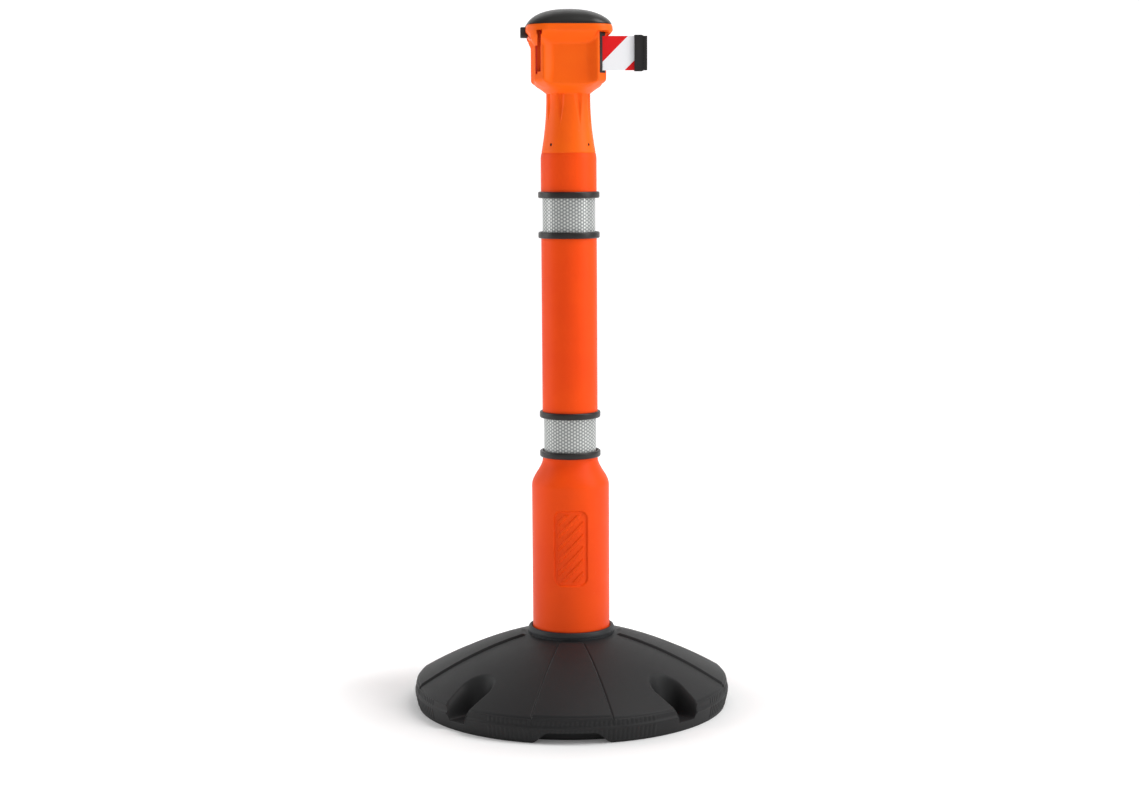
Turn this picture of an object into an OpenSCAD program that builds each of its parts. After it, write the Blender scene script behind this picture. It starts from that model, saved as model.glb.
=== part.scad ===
// Retractable tape barrier post: weighted base, plastic post, four-way head with a tape cassette.
// The head faces -Y and its tape leaves toward +X. The origin is on the floor under the post's axis.

/* [Base] */
// Diameter over the ledge of the rim
base_d = 484; // [440:1:520]
// Height of the rim's top edge above the floor
rim_h = 35; // [28:1:42]
// Height of the cone where it meets the collar
cone_h = 108; // [95:1:115]
// Share by which the cone bulges over a straight line
cone_bulge = 0.47; // [0.2:0.01:0.6]
// Half angle of each raised wedge, degrees
wedge_half_angle = 14.5; // [10:0.5:18]
// Width of a hand grip pocket
grip_w = 60; // [50:1:70]
// Turn of the base and post against the head, degrees
base_turn = -4.5; // [-10:0.5:10]

/* [Post] */
// Diameter of the upper tube
tube_d = 84; // [80:1:90]
// Diameter of the lower body
lower_d = 118; // [110:1:124]
// Height where the post ends and the neck begins
post_top = 841; // [820:1:860]
// Height of the top of the lower body's straight part
shoulder_z = 338; // [310:1:350]
// Outer diameter of a rubber ring
ring_d = 92.6; // [90:0.1:96]
// Height of a rubber ring
ring_h = 9.7; // [8:0.1:12]

/* [Head] */
// Half width of the head between its flat sides
head_half = 54; // [53:0.5:56]
// Half width of the lid seam
seam_half = 62.2; // [61:0.1:64]
// Height of the seam between head and lid
seam_z = 1029; // [1024:1:1032]
// Height of the top of the lid
lid_top = 1053.5; // [1048:0.5:1060]
// Distance of each slot's middle plane from the head's centre
slot_off = 46.5; // [46:0.1:47]

/* [Tape] */
// Width of the tape
tape_w = 50; // [48:1:52]
// Thickness of the tape
tape_t = 0.5; // [0.4:0.1:0.6]
// Length of tape wound on the drum
tape_length = 3000; // [2000:100:3200]
// Outer radius of the wound tape
coil_r = 30; // [28:0.5:30]
// How far the clip stands out from its seat
pulled_out = 37; // [20:1:60]

/* [Hidden] */
$fn = 72;

ORANGE = "OrangeRed";
BLACK = "DimGray";
STEEL = "Silver";
RED = "DarkRed";
NYLON = "Gainsboro";
eps = 0.02;                 // overlap that joins shapes of one piece
gap = 0.3;                  // clearance between pieces that move past each other
seat = 0.03;                // clearance between pieces seated in each other

// Base
base_r = base_d / 2;
cone_r = base_r - 1.6;      // radius of the cone's outer edge
ledge_z = 24;               // height of the ledge round the rim
foot_r = base_r - 5;        // radius at the floor
wedge_rise = 3;             // height of a wedge above the cone
socket_r = 66;              // outer radius of the socket
lip_top = 120;              // top of the socket's lip
lip_z = cone_h + wedge_rise + gap;   // underside of the lip, clear of the wedges
lip_out = 1;                // overhang of the lip
grip_in_r = 203;            // radius of the middle of a grip's round end
grip_sill = 13;             // height of the sill under a grip
notch_w = 93;               // width of a notch under the rim
notch_h = 17;               // height of a notch
notch_depth = 24;           // depth of a notch
rib_t = 12;                 // thickness of the ribs under the base
well_in = 90;               // inner radius of the hollow under the base
well_out = 158;             // outer radius of the hollow
well_h = 34;                // depth of the hollow

// Socket and the foot of the post
lower_r = lower_d / 2;
socket_in = lower_r + gap;
socket_floor = 8;           // underside of the socket's floor
foot_z = 16;                // lower end of the post
lug_z = 26;                 // underside of a bayonet lug
lug_h = 8;                  // height of a lug
lug_deep = 3.6;             // how far a lug stands into the post's wall
lug_angle = 10;             // angle that a lug covers
twist = 30;                 // turn between locked and free
plate_r = 76;
plate_t = 3;
screw_circle = 44;          // radius of the ring of socket screws
screw_r = 2.5;              // radius of a socket screw's shank
screw_head_h = 3;

// Post
tube_r = tube_d / 2;
wall = 5;                   // wall of the lower body
tube_wall = 6;              // wall of the upper tube
top_edge = [1.1, 8];        // sideways and upright size of the chamfer at the post's top
bore_r = tube_r - tube_wall;
band_r = tube_r - 2.7;      // radius of the tube under a reflective band
band_t = 0.5;
ring_z = [387, 447, 719, 779];
badge_w = 51;               // width of the recessed panel
badge_z = [191, 306];       // lower and upper end of the panel
badge_deep = 2;
badge_round = 12;
badge_rib = 4.5;            // width of a raised bar in the panel
badge_inset = 6;            // plain margin round the bars
badge_reach = 10;           // depth of wall that the panel's curve covers
shoulder_h = 42;            // height of the shoulder

// Neck and head
neck_screw_z = 853.6;
neck_screw_r = 1.5;
plug_r = bore_r - 0.05;
plug_wall = 6;
plug_bottom = post_top - 40;
plug_top = 866;
flute_x = 12.5;             // distance of a flute from the middle of its side
flute_r = 8;                // radius of the tool that a flute is cut with
flute_tilt = 3;             // lean of a flute, degrees
bowl_z = 929;               // top of the neck
head_cut = 14;              // chamfer of the head's corners
panel_half = 29;            // half width of a recessed face panel
panel_z = [955, 1000];
panel_deep = 8;
flange_z = 998;             // where the head begins to flare
cavity_z = 957;             // floor of the cassette space
panel_wall = 2.5;           // wall behind a face panel
inner_half = head_half - panel_deep - panel_wall;
shell_t = 3;
seam_round = 31;            // corner radius of the seam's outline
body_top = seam_z - 8;      // top of the chamfered square body
// Rise above flange_z, half width and corner radius of each level of the flared rim
flange_steps = [[0, head_half - 0.5, 15], [12, 63, 29], [21, 64, seam_round],
                [28, 63.3, seam_round], [seam_z - flange_z, seam_half, seam_round]];
bowl_top = 947.5;           // height where the head is fully square
// Height, half width and corner radius of each level of the underside, round at the neck
bowl_steps = [[bowl_z, 33, 32.9], [934.7, 40.5, 39], [938.5, 46.5, 38], [942, 50.6, 32]];
pocket_x = 12.5;            // how far a pocket's sloping side is offset from the diagonal

// Receiver slots and tape exit
slot_w = 5;
slot_z = [960, 1020];
slot_end = 36;              // distance from the axis where a slot's cut ends
key_w = 8;                  // width of the widened top of a slot
key_h = 6;
channel_w = 8.6;            // width of the space behind a slot
channel_deep = 6;
bezel_z = [958, 1017.5];
bezel_w = 12;
bezel_t = 3.2;
bezel_out = 0.6;            // how far the bezel stands proud
tape_slot = 2.4;            // width of the slot that the tape leaves by

// Tape run
tape_z = 961.5;
tape_y = -slot_off;
bend = [41, tape_y];
reach = norm(bend);
lead_angle = atan2(bend[1], bend[0]) - acos(coil_r / reach);
lead_start = coil_r * [cos(lead_angle), sin(lead_angle)];
roller_r = 3;
lead_slope = atan2(bend[1] - lead_start[1], bend[0] - lead_start[0]);
roller_gap = tape_t / 2 + roller_r + 0.05;
roller_at = bend + roller_gap / cos(lead_slope / 2) * [-sin(lead_slope / 2), cos(lead_slope / 2)];
hub_r = sqrt(coil_r * coil_r - tape_length * tape_t / PI);
drum_flange_r = coil_r + 3;
drum_z = tape_z - 2;
drum_h = tape_w + 4;
chamber_r = hub_r - 1.8;    // inner radius of the spring chamber
spindle_r = 4;
bush_r = 6;                 // outer radius of a drum bush
bush_h = 8;
tape_out = 47;              // where the tape's outer run begins
clip_in = 57.3 + pulled_out;   // inner face of the clip
clip_z = 960;
clip_h = 53;
clip_l = 10.7;              // length of the clip's body
clip_half = 3.7;            // half thickness of the clip
clip_inset = 1.2;           // thickness of the clip's shell behind the tape
web_l = 3.6;                // length and thickness of the web behind the end flange
flange_l = 4.5;             // length of the end flange
tape_hold = 3;              // length of tape held in the clip
rivet_r = 1.2;
rivet_x = 6.5;              // distance of the rivets from the clip's inner face
rivet_z = [clip_z + 7, clip_z + clip_h - 7];

// Brake
brake_z = 1019;
plunger_z = brake_z + 1.5;
plunger_r = 2.5;
button_out = -71;           // outer face of the button
button_w = 14;
button_h = 16;
button_l = 11;
button_wall = 6;            // thickness of the button in front of its spring
plunger_in = 4;             // thickness of the button in front of the plunger
guide_x = 1.5 - head_half;  // inner end of the button's guide
brake_travel = 3.5;
circlip_r = 4.4;

function lerp(a, b, t) = a + (b - a) * t;
function cone_z(r) =
    let (s = (cone_r - r) / (cone_r - socket_r))
    rim_h + (cone_h - rim_h) * (s + cone_bulge * s * (1 - s));
function shoulder_r(t) = lerp(lower_r, tube_r, (1 - cos(180 * t)) / 2);
// Radius of the neck, from the post's top (t = 0) up to the bowl (t = 1)
function neck_r(t) = 32.9 + 8 * pow(1 - t, 2.1);

// ---- shared shapes ----

module ring(r_in, r_out, z, h) {
    translate([0, 0, z])
        difference() {
            cylinder(r = r_out, h = h);
            translate([0, 0, -1]) cylinder(r = r_in, h = h + 2);
        }
}

module sector(r, half_angle, h) {
    far = r / cos(half_angle);
    linear_extrude(h)
        polygon([[0, 0], far * [cos(half_angle), -sin(half_angle)],
                 far * [cos(half_angle), sin(half_angle)]]);
}

module rounded_square(half, r) {
    for (a = [0, 90]) rotate(a) square([2 * half, 2 * (half - r)], center = true);
    for (x = [-1, 1], y = [-1, 1]) translate([x, y] * (half - r)) circle(r = r, $fn = 32);
}

module head_outline(half, cut) {
    in = half - cut;
    polygon([for (a = [0:90:270], p = [[half, -in], [half, in]])
             [p[0] * cos(a) - p[1] * sin(a), p[0] * sin(a) + p[1] * cos(a)]]);
}

module corner_pocket() {
    edge = 2 * head_half - head_cut - shell_t * sqrt(2);
    out = head_half - shell_t;
    side = inner_half - pocket_x;
    polygon([[side, inner_half], [out - pocket_x, out], [edge - out, out], [out, edge - out],
             [out, out - pocket_x], [inner_half, side], [side - 8, side - 8]]);
}

// ---- base ----

module base_outline(lift, r_limit) {
    steps = 12;
    bore = socket_r + seat;
    ledge_h = 2;
    polygon(concat(
        [[bore, 0], [foot_r, 0], [r_limit, ledge_z - ledge_h], [r_limit, ledge_z],
         [cone_r, ledge_z + ledge_h]],
        [for (i = [0:steps]) let (r = lerp(cone_r, bore, i / steps)) [r, cone_z(r) + lift]]));
}

module grip_cut() {
    translate([grip_in_r, 0, grip_sill]) cylinder(d = grip_w, h = cone_h);
    translate([grip_in_r, -grip_w / 2, grip_sill]) cube([base_r, grip_w, cone_h]);
}

module base_body() {
    color(BLACK) rotate(base_turn) difference() {
        union() {
            rotate_extrude($fn = 144) base_outline(0, base_r);
            intersection() {
                rotate_extrude($fn = 144) base_outline(wedge_rise, base_r);
                for (a = [0:90:270]) rotate(a) sector(2 * base_r, wedge_half_angle, lip_top);
            }
        }
        translate([0, 0, -1]) cylinder(r = plate_r + 1, h = socket_floor + 1);
        for (a = [45:90:315]) rotate(a) grip_cut();
        for (a = [0:90:270]) rotate(a)
            translate([base_r - notch_depth, -notch_w / 2, -1])
                cube([2 * notch_depth, notch_w, notch_h + 1]);
        difference() {
            ring(well_in, well_out, -1, well_h + 1);
            for (a = [0:45:315]) rotate(a)
                translate([0, -rib_t / 2, -2]) cube([well_out + 1, rib_t, well_h + 4]);
        }
    }
}

module base_socket() {
    color(BLACK) rotate(base_turn) {
        difference() {
            union() {
                translate([0, 0, socket_floor]) cylinder(r = socket_r, h = lip_z - socket_floor);
                translate([0, 0, lip_z])
                    cylinder(r1 = socket_r + lip_out, r2 = socket_r - lip_out, h = lip_top - lip_z);
            }
            translate([0, 0, foot_z - gap]) cylinder(r = socket_in, h = lip_top);
            for (a = [45:90:315]) rotate(a)
                translate([screw_circle, 0, 0]) cylinder(r = screw_r + seat, h = foot_z);
        }
        for (a = [0:120:240]) rotate(a - lug_angle / 2)
            rotate_extrude(angle = lug_angle)
                translate([lower_r - lug_deep, lug_z]) square([lug_deep + gap + eps, lug_h]);
    }
}

module socket_plate() {
    color(STEEL) rotate(base_turn) difference() {
        translate([0, 0, socket_floor - plate_t]) cylinder(r = plate_r, h = plate_t);
        for (a = [45:90:315]) rotate(a)
            translate([screw_circle, 0, 0]) cylinder(r = screw_r + 0.7, h = foot_z);
    }
}

module socket_screws() {
    color(STEEL) rotate(base_turn) for (a = [45:90:315]) rotate(a)
        translate([screw_circle, 0, socket_floor - plate_t]) {
            translate([0, 0, -screw_head_h]) cylinder(r = 5.5, h = screw_head_h);
            translate([0, 0, -0.5]) cylinder(r = screw_r, h = 10);
        }
}

// ---- post ----

module post_profile() {
    steps = 14;
    band = ring_h / 2;
    polygon(concat(
        [[lower_r - wall, foot_z], [lower_r, foot_z]],
        [for (i = [0:steps]) [shoulder_r(i / steps), shoulder_z + shoulder_h * i / steps]],
        [for (k = [0, 2], p = [[tube_r, ring_z[k] + band - 1], [band_r, ring_z[k] + band - 1],
                               [band_r, ring_z[k + 1] - band + 1],
                               [tube_r, ring_z[k + 1] - band + 1]]) p],
        [[tube_r, post_top - top_edge[1]], [tube_r - top_edge[0], post_top], [bore_r, post_top]],
        [for (i = [steps:-1:0])
            [shoulder_r(i / steps) - lerp(wall, tube_wall, i / steps),
             shoulder_z - wall + shoulder_h * i / steps]]));
}

module badge_outline(inset) {
    r = badge_round - inset;
    w = badge_w / 2 - inset - r;
    for (x = [-w, w], z = [badge_z[0] + inset + r, badge_z[1] - inset - r])
        translate([x, z]) circle(r = r, $fn = 32);
    translate([-w - r, badge_z[0] + inset + r])
        square([2 * (w + r), badge_z[1] - badge_z[0] - 2 * (inset + r)]);
    translate([-w, badge_z[0] + inset])
        square([2 * w, badge_z[1] - badge_z[0] - 2 * inset]);
}

module badge_bars() {
    pitch = 3 * badge_rib;
    intersection() {
        badge_outline(badge_inset);
        for (z = [badge_z[0] - badge_w : pitch : badge_z[1]])
            translate([-badge_w / 2, z]) rotate(45) square([2 * badge_w, badge_rib]);
    }
}

module bayonet_slot() {
    clear_z = 1;
    rotate(-twist - lug_angle / 2 - 1)
        rotate_extrude(angle = lug_angle + 2)
            translate([lower_r - wall - 1, foot_z - 1])
                square([wall + 2, lug_z + lug_h + clear_z - foot_z + 1]);
    rotate(-twist - lug_angle / 2 - 1)
        rotate_extrude(angle = twist + lug_angle + 2)
            translate([lower_r - wall - 1, lug_z - clear_z])
                square([wall + 2, lug_h + 2 * clear_z]);
}

module post_body() {
    color(ORANGE) rotate(base_turn) difference() {
        rotate_extrude($fn = 96) post_profile();
        difference() {
            translate([0, -lower_r + badge_reach, 0]) rotate([90, 0, 0])
                linear_extrude(2 * badge_reach) badge_outline(0);
            cylinder(r = lower_r - badge_deep, h = shoulder_z);
            translate([0, -lower_r + badge_reach + 1, 0]) rotate([90, 0, 0])
                linear_extrude(2 * badge_reach + 2) badge_bars();
        }
        for (a = [0:120:240]) rotate(a) mirror([0, 1, 0]) bayonet_slot();
    }
}

module rubber_ring(z) {
    round_r = 2;
    out = ring_d / 2 - tube_r - seat;
    color(BLACK) rotate_extrude($fn = 96)
        translate([tube_r + seat, z - ring_h / 2]) {
            square([out - round_r, ring_h]);
            translate([0, round_r]) square([out, ring_h - 2 * round_r]);
            for (h = [round_r, ring_h - round_r])
                translate([out - round_r, h]) circle(r = round_r, $fn = 32);
        }
}

module ring_lower_bottom() { rubber_ring(ring_z[0]); }
module ring_lower_top() { rubber_ring(ring_z[1]); }
module ring_upper_bottom() { rubber_ring(ring_z[2]); }
module ring_upper_top() { rubber_ring(ring_z[3]); }

module reflective_band(k) {
    z = ring_z[k] + ring_h / 2 - 1;
    color(STEEL) ring(band_r + seat, band_r + band_t, z, ring_z[k + 1] - ring_h / 2 + 1 - z);
}

module reflective_band_lower() { reflective_band(0); }
module reflective_band_upper() { reflective_band(2); }

// ---- neck and head ----

module at_neck_screws() {
    for (a = [43, 137, 223, 317]) rotate(a)
        translate([0, 0, neck_screw_z]) rotate([0, 90, 0]) children();
}

module neck_plug() {
    color(BLACK) difference() {
        ring(bore_r - plug_wall, plug_r, plug_bottom, plug_top - plug_bottom);
        at_neck_screws() cylinder(r = neck_screw_r, h = tube_r);
    }
}

module neck_screws() {
    color(STEEL) at_neck_screws() {
        translate([0, 0, bore_r - 5]) cylinder(r = neck_screw_r, h = 5.5);
        translate([0, 0, bore_r + 0.2]) cylinder(r = 2.3, h = 1.2);
    }
}

module neck_solid() {
    steps = 12;
    rotate_extrude($fn = 96)
        polygon(concat([[0, post_top]],
            [for (i = [0:steps]) [neck_r(i / steps), lerp(post_top, bowl_z, i / steps)]],
            [[neck_r(1), bowl_z + 12], [0, bowl_z + 12]]));
}

module neck_flutes() {
    for (a = [0:90:270], s = [-1, 1]) rotate(a)
        translate([s * flute_x, 1.8 - flute_r - neck_r(1), bowl_z + 4])
            rotate([180 + flute_tilt, 0, 0]) cylinder(r = flute_r, h = 60);
}

module bowl() {
    hull() {
        for (b = bowl_steps)
            translate([0, 0, b[0]]) linear_extrude(eps) rounded_square(b[1], b[2]);
        translate([0, 0, bowl_top]) linear_extrude(eps) head_outline(head_half, head_cut);
    }
}

// Space beside the exit corner where the clip comes to rest
module exit_relief() {
    clear = 5.5;
    far = seam_half + 20;
    translate([40, -far, flange_z - 5])
        cube([40, far + tape_y + clear, bezel_z[1] + clear - flange_z]);
}

module head_solid() {
    bowl();
    translate([0, 0, bowl_top]) linear_extrude(body_top - bowl_top)
        head_outline(head_half, head_cut);
    difference() {
        hull() for (s = flange_steps)
            translate([0, 0, flange_z + s[0] - eps]) linear_extrude(eps)
                rounded_square(s[1], s[2]);
        exit_relief();
    }
}

module panel_recess() {
    deep = 20;
    hull() {
        translate([-panel_half, -head_half + panel_deep, panel_z[0]])
            cube([2 * panel_half, eps, panel_z[1] - panel_z[0]]);
        translate([-panel_half - deep, -head_half + panel_deep - deep, panel_z[0] - deep])
            cube([2 * (panel_half + deep), eps, panel_z[1] - panel_z[0] + 2 * deep]);
    }
}

// Receiver slot of the front left corner; it opens toward -Y
module receiver_cut() {
    near = -head_half - 14;
    deep = -slot_end - near;
    translate([-slot_off - slot_w / 2, near, slot_z[0]])
        cube([slot_w, deep, slot_z[1] - slot_z[0]]);
    translate([-slot_off - key_w / 2, near, slot_z[1] - key_h]) cube([key_w, deep, key_h]);
}

module bezel_block(grow, depth) {
    face = (2 * head_half - head_cut) / sqrt(2);
    rotate(-45) translate([face - depth, -bezel_w / 2 - grow, bezel_z[0] - grow])
        cube([depth + bezel_out, bezel_w + 2 * grow, bezel_z[1] - bezel_z[0] + 2 * grow]);
}

module button_guide(grow) {
    translate([guide_x - 20, -button_w / 2 - grow, brake_z - button_h / 2 - grow])
        cube([20, button_w + 2 * grow, button_h + 2 * grow]);
}

module head_shell() {
    color(ORANGE) difference() {
        union() {
            neck_solid();
            head_solid();
        }
        neck_flutes();
        translate([0, 0, post_top - 1]) cylinder(r = bore_r, h = plug_top - post_top + 3);
        translate([0, 0, plug_top]) cylinder(r = neck_r(1) - 5, h = bowl_z - plug_top);
        at_neck_screws() cylinder(r = 2.4, h = 2 * tube_r);
        for (a = [0:90:270]) rotate(a) panel_recess();
        translate([-inner_half, -inner_half, cavity_z])
            cube([2 * inner_half, 2 * inner_half, seam_z]);
        for (a = [0:90:270]) rotate(a)
            translate([0, 0, cavity_z]) linear_extrude(slot_z[1] + 2 - cavity_z) corner_pocket();
        for (a = [0, -90, 180]) rotate(a) receiver_cut();
        bezel_block(0, 9);
        button_guide(gap);
        translate([-head_half, 0, plunger_z]) rotate([0, 90, 0])
            cylinder(r = plunger_r + gap, h = 20);
    }
}

// Catch behind the front left receiver slot
module receiver() {
    inside = 2 * head_half - head_cut - shell_t * sqrt(2) - 2 * seat;
    back = 0.5 - slot_end;
    outer = head_half - shell_t - seat;
    slope = pocket_x - 2 * seat;
    side = slot_off - 6;
    z0 = cavity_z + seat;
    color(RED) difference() {
        translate([0, 0, z0]) linear_extrude(slot_z[1] + 1 - z0)
            polygon([[back - slope, back], [-outer, slope - outer], [-outer, outer - inside],
                     [-side, side - inside], [-side, back]]);
        translate([-slot_off - slot_w / 2, -head_half - 5, slot_z[0]])
            cube([slot_w, head_half, slot_z[1] + 5 - slot_z[0]]);
        translate([-slot_off - channel_w / 2, back - 2 - channel_deep, slot_z[0]])
            cube([channel_w, channel_deep, slot_z[1] + 5 - slot_z[0]]);
        translate([-slot_off - key_w / 2, -head_half - 5, slot_z[1] - key_h])
            cube([key_w, head_half + back + 2, key_h + 5]);
    }
}

module receiver_front_left() { receiver(); }
module receiver_back_left() { rotate(-90) receiver(); }
module receiver_back_right() { rotate(180) receiver(); }

module exit_bezel() {
    color(BLACK) difference() {
        bezel_block(-0.05, bezel_t);
        translate([20, tape_y - tape_slot / 2, tape_z - 1.5])
            cube([60, tape_slot, tape_w + 3]);
    }
}

// ---- cassette ----

cassette_half = inner_half - 0.5;
cassette_cut = 12;          // chamfer of the cassette's corners
pillar_at = [for (x = [-1, 1], y = [-1, 1]) [x, y] * 33];
pillar_r = 3;
cover_z = drum_z + drum_h + 1;
cover_t = 2;
pin_r = 1;                  // radius of the roller's pin
cassette_screw_r = 1.2;

// Tongue of a cassette plate that holds one end of the roller's pin
module roller_tongue(z, h) {
    translate([roller_at[0] - 6, roller_at[1] - 1.6, z]) cube([7.6, 8, h]);
}

module cassette_base() {
    color(NYLON) difference() {
        union() {
            translate([0, 0, cavity_z]) linear_extrude(drum_z - 0.6 - cavity_z)
                head_outline(cassette_half, cassette_cut);
            for (p = pillar_at) translate([p[0], p[1], cavity_z])
                cylinder(r = pillar_r, h = cover_z - cavity_z);
            roller_tongue(cavity_z, drum_z - 0.6 - cavity_z);
        }
        translate([0, 0, cavity_z - 1]) cylinder(r = spindle_r + seat, h = 5);
        translate([roller_at[0], roller_at[1], cavity_z - 1]) cylinder(r = pin_r + seat, h = 5);
        for (p = pillar_at) translate([p[0], p[1], cover_z - 12])
            cylinder(r = cassette_screw_r + seat, h = 13);
    }
}

module cassette_cover() {
    notch = 12;
    color(NYLON) difference() {
        union() {
            translate([0, 0, cover_z]) linear_extrude(cover_t)
                head_outline(cassette_half, cassette_cut);
            roller_tongue(cover_z, cover_t);
        }
        translate([0, 0, cover_z - 1]) cylinder(r = spindle_r + seat, h = 4);
        translate([roller_at[0], roller_at[1], cover_z - 1]) cylinder(r = pin_r + seat, h = 4);
        for (p = pillar_at) translate([p[0], p[1], cover_z - 1]) cylinder(r = 1.6, h = 4);
        translate([-cassette_half - 1, -notch / 2, cover_z - 1]) cube([notch, notch, 4]);
    }
}

module cassette_screws() {
    color(STEEL) for (p = pillar_at) translate([p[0], p[1], 0]) {
        translate([0, 0, cover_z - 9]) cylinder(r = cassette_screw_r, h = 11.5);
        translate([0, 0, cover_z + cover_t]) cylinder(r = 2.6, h = 1.6);
    }
}

module spindle() {
    color(STEEL) translate([0, 0, cavity_z]) cylinder(r = spindle_r, h = cover_z + cover_t - cavity_z);
}

module roller_pin() {
    color(STEEL) translate([roller_at[0], roller_at[1], cavity_z])
        cylinder(r = pin_r, h = cover_z + cover_t - cavity_z);
}

module exit_roller() {
    color(NYLON) translate([roller_at[0], roller_at[1], 0])
        ring(pin_r + 2 * seat, roller_r, tape_z - 1, tape_w + 2);
}

// Flat spiral spring in the drum's chamber, fixed to the spindle
module mainspring() {
    turns = 9;
    steps_per_turn = 24;
    leaf = 0.4;
    r_in = spindle_r + leaf + 0.1;
    r_out = chamber_r - 1;
    n = turns * steps_per_turn;
    path = [for (i = [0:n]) let (r = lerp(r_in, r_out, i / n), a = 360 * i / steps_per_turn)
            r * [cos(a), sin(a)]];
    inner = [for (i = [n:-1:0]) path[i] * (1 - leaf / norm(path[i]))];
    color(STEEL) translate([0, 0, tape_z + 9]) linear_extrude(20)
        polygon(concat(path, inner));
}

module drum() {
    disc = 1.6;
    color(NYLON) {
        for (z = [drum_z, drum_z + drum_h - disc]) ring(bush_r, drum_flange_r, z, disc);
        for (z = [drum_z, drum_z + drum_h - bush_h]) ring(bush_r, hub_r, z, bush_h);
        ring(chamber_r, hub_r, drum_z, drum_h);
    }
}

module drum_bushes() {
    color("Peru") for (z = [drum_z, drum_z + drum_h - bush_h])
        ring(spindle_r + 2 * seat, bush_r - seat, z, bush_h);
}

module tape_coil() {
    color("Red") ring(hub_r + seat, coil_r, tape_z, tape_w);
}

module tape_lead() {
    along = (bend - lead_start) / norm(bend - lead_start);
    across = [-along[1], along[0]] * tape_t / 2;
    start = lead_start + along * 6;
    stop = [tape_out - 0.5, tape_y];
    half = [0, tape_t / 2];
    color("Red") translate([0, 0, tape_z]) linear_extrude(tape_w)
        polygon([start - across, bend - half, stop - half, stop + half, bend + half,
                 start + across]);
}

// ---- tape and clip ----

module tape_strip() {
    color("Red") translate([tape_out, tape_y - tape_t / 2, tape_z])
        cube([clip_in + tape_hold - tape_out, tape_t, tape_w]);
}

// Bores or shanks of the clip's two rivets, from y on
module at_rivets(y, r, length) {
    for (z = rivet_z) translate([clip_in + rivet_x, y, z]) rotate([-90, 0, 0])
        cylinder(r = r, h = length);
}

module tape_clip() {
    color(BLACK) difference() {
        union() {
            translate([clip_in, tape_y - clip_inset, clip_z])
                cube([clip_l, clip_inset + clip_half, clip_h]);
            translate([clip_in + clip_l - eps, tape_y - web_l / 2, clip_z])
                cube([web_l + 2 * eps, web_l, clip_h]);
            translate([clip_in + clip_l + web_l, tape_y - clip_half, clip_z + 1.5])
                cube([flange_l, 2 * clip_half, clip_h - 3]);
        }
        translate([clip_in - 1, tape_y - tape_t / 2, tape_z]) cube([tape_hold + 1, tape_t, tape_w]);
        at_rivets(tape_y - 2 * clip_half, rivet_r + seat, 4 * clip_half);
    }
}

module clip_cover() {
    color(BLACK) difference() {
        translate([clip_in, tape_y - clip_half, clip_z])
            cube([clip_l, clip_half - clip_inset - seat, clip_h]);
        at_rivets(tape_y - 2 * clip_half, rivet_r + seat, 4 * clip_half);
    }
}

module clip_rivets() {
    color(STEEL) at_rivets(tape_y - clip_half + 0.05, rivet_r, 2 * clip_half - 0.1);
}

// ---- brake button ----

module along_plunger(x) {
    translate([x, 0, plunger_z]) rotate([0, 90, 0]) children();
}

module brake_button() {
    color(BLACK) difference() {
        translate([button_out, -button_w / 2, brake_z - button_h / 2])
            cube([button_l, button_w, button_h]);
        along_plunger(button_out + plunger_in) cylinder(r = plunger_r, h = button_l);
        along_plunger(button_out + button_wall) cylinder(r = 4.6, h = button_l);
    }
}

module brake_plunger() {
    color(STEEL) along_plunger(button_out + plunger_in) cylinder(r = plunger_r, h = 27);
}

module brake_shoe() {
    tip = -drum_flange_r - gap - brake_travel;
    shoe = [3.2, 9];
    low = drum_z + drum_h - 4;
    color(RED) translate([tip - shoe[0], -shoe[1] / 2, low])
        cube([shoe[0], shoe[1], plunger_z + plunger_r + 1 - low]);
}

module brake_spring() {
    turns = 5;
    wire = 0.4;
    radius = 3.7;
    from = button_out + button_wall + wire;
    to = guide_x - wire;
    for (i = [0:turns - 1])
        color(STEEL) along_plunger(lerp(from, to, i / (turns - 1)))
            rotate_extrude($fn = 32) translate([radius, 0]) circle(r = wire, $fn = 16);
}

module plunger_circlip() {
    color(STEEL) along_plunger(0.6 - inner_half) ring(plunger_r + seat, circlip_r, 0, 0.8);
}

// ---- lid ----

module lid_dome(half, z, top) {
    steps = 12;
    hull() for (i = [0:steps])
        let (a = 86 * i / steps, w = half * cos(a))
        translate([0, 0, z + (top - z) * sin(a) / sin(86)])
            linear_extrude(eps) rounded_square(w, seam_round * w / half);
}

module lid() {
    z = seam_z + gap;
    skin = 2;
    low = plunger_z + circlip_r + 0.8;
    spigot = inner_half - gap;
    hollow = spigot - skin;
    color(BLACK) difference() {
        union() {
            lid_dome(seam_half, z, lid_top);
            translate([-spigot, -spigot, low]) cube([2 * spigot, 2 * spigot, z + 1 - low]);
        }
        translate([-hollow, -hollow, low - 1]) cube([2 * hollow, 2 * hollow, z + skin + 1 - low]);
        lid_dome(spigot + skin, z + 1, lid_top - 2 * skin);
    }
}

base_body();
base_socket();
socket_plate();
socket_screws();
post_body();
ring_lower_bottom();
ring_lower_top();
ring_upper_bottom();
ring_upper_top();
reflective_band_lower();
reflective_band_upper();
neck_plug();
neck_screws();
head_shell();
receiver_front_left();
receiver_back_left();
receiver_back_right();
exit_bezel();
cassette_base();
cassette_cover();
cassette_screws();
spindle();
mainspring();
roller_pin();
tape_lead();
exit_roller();
drum();
drum_bushes();
tape_coil();
brake_button();
brake_plunger();
brake_shoe();
brake_spring();
plunger_circlip();
tape_strip();
tape_clip();
clip_cover();
clip_rivets();
lid();
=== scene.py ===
"""A free-standing retractable tape barrier post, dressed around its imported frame.

The post stands on a weighted rubber base, carries two reflective bands between rubber rings, and
ends in a four-way head with three receiver slots, a tape exit, a brake button and a domed lid.
"""

import logging
import math
from dataclasses import dataclass, field
from enum import Enum
from typing import Iterable, Sequence

import bmesh
import bpy
import numpy as np
from mathutils import Matrix, Vector


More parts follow.
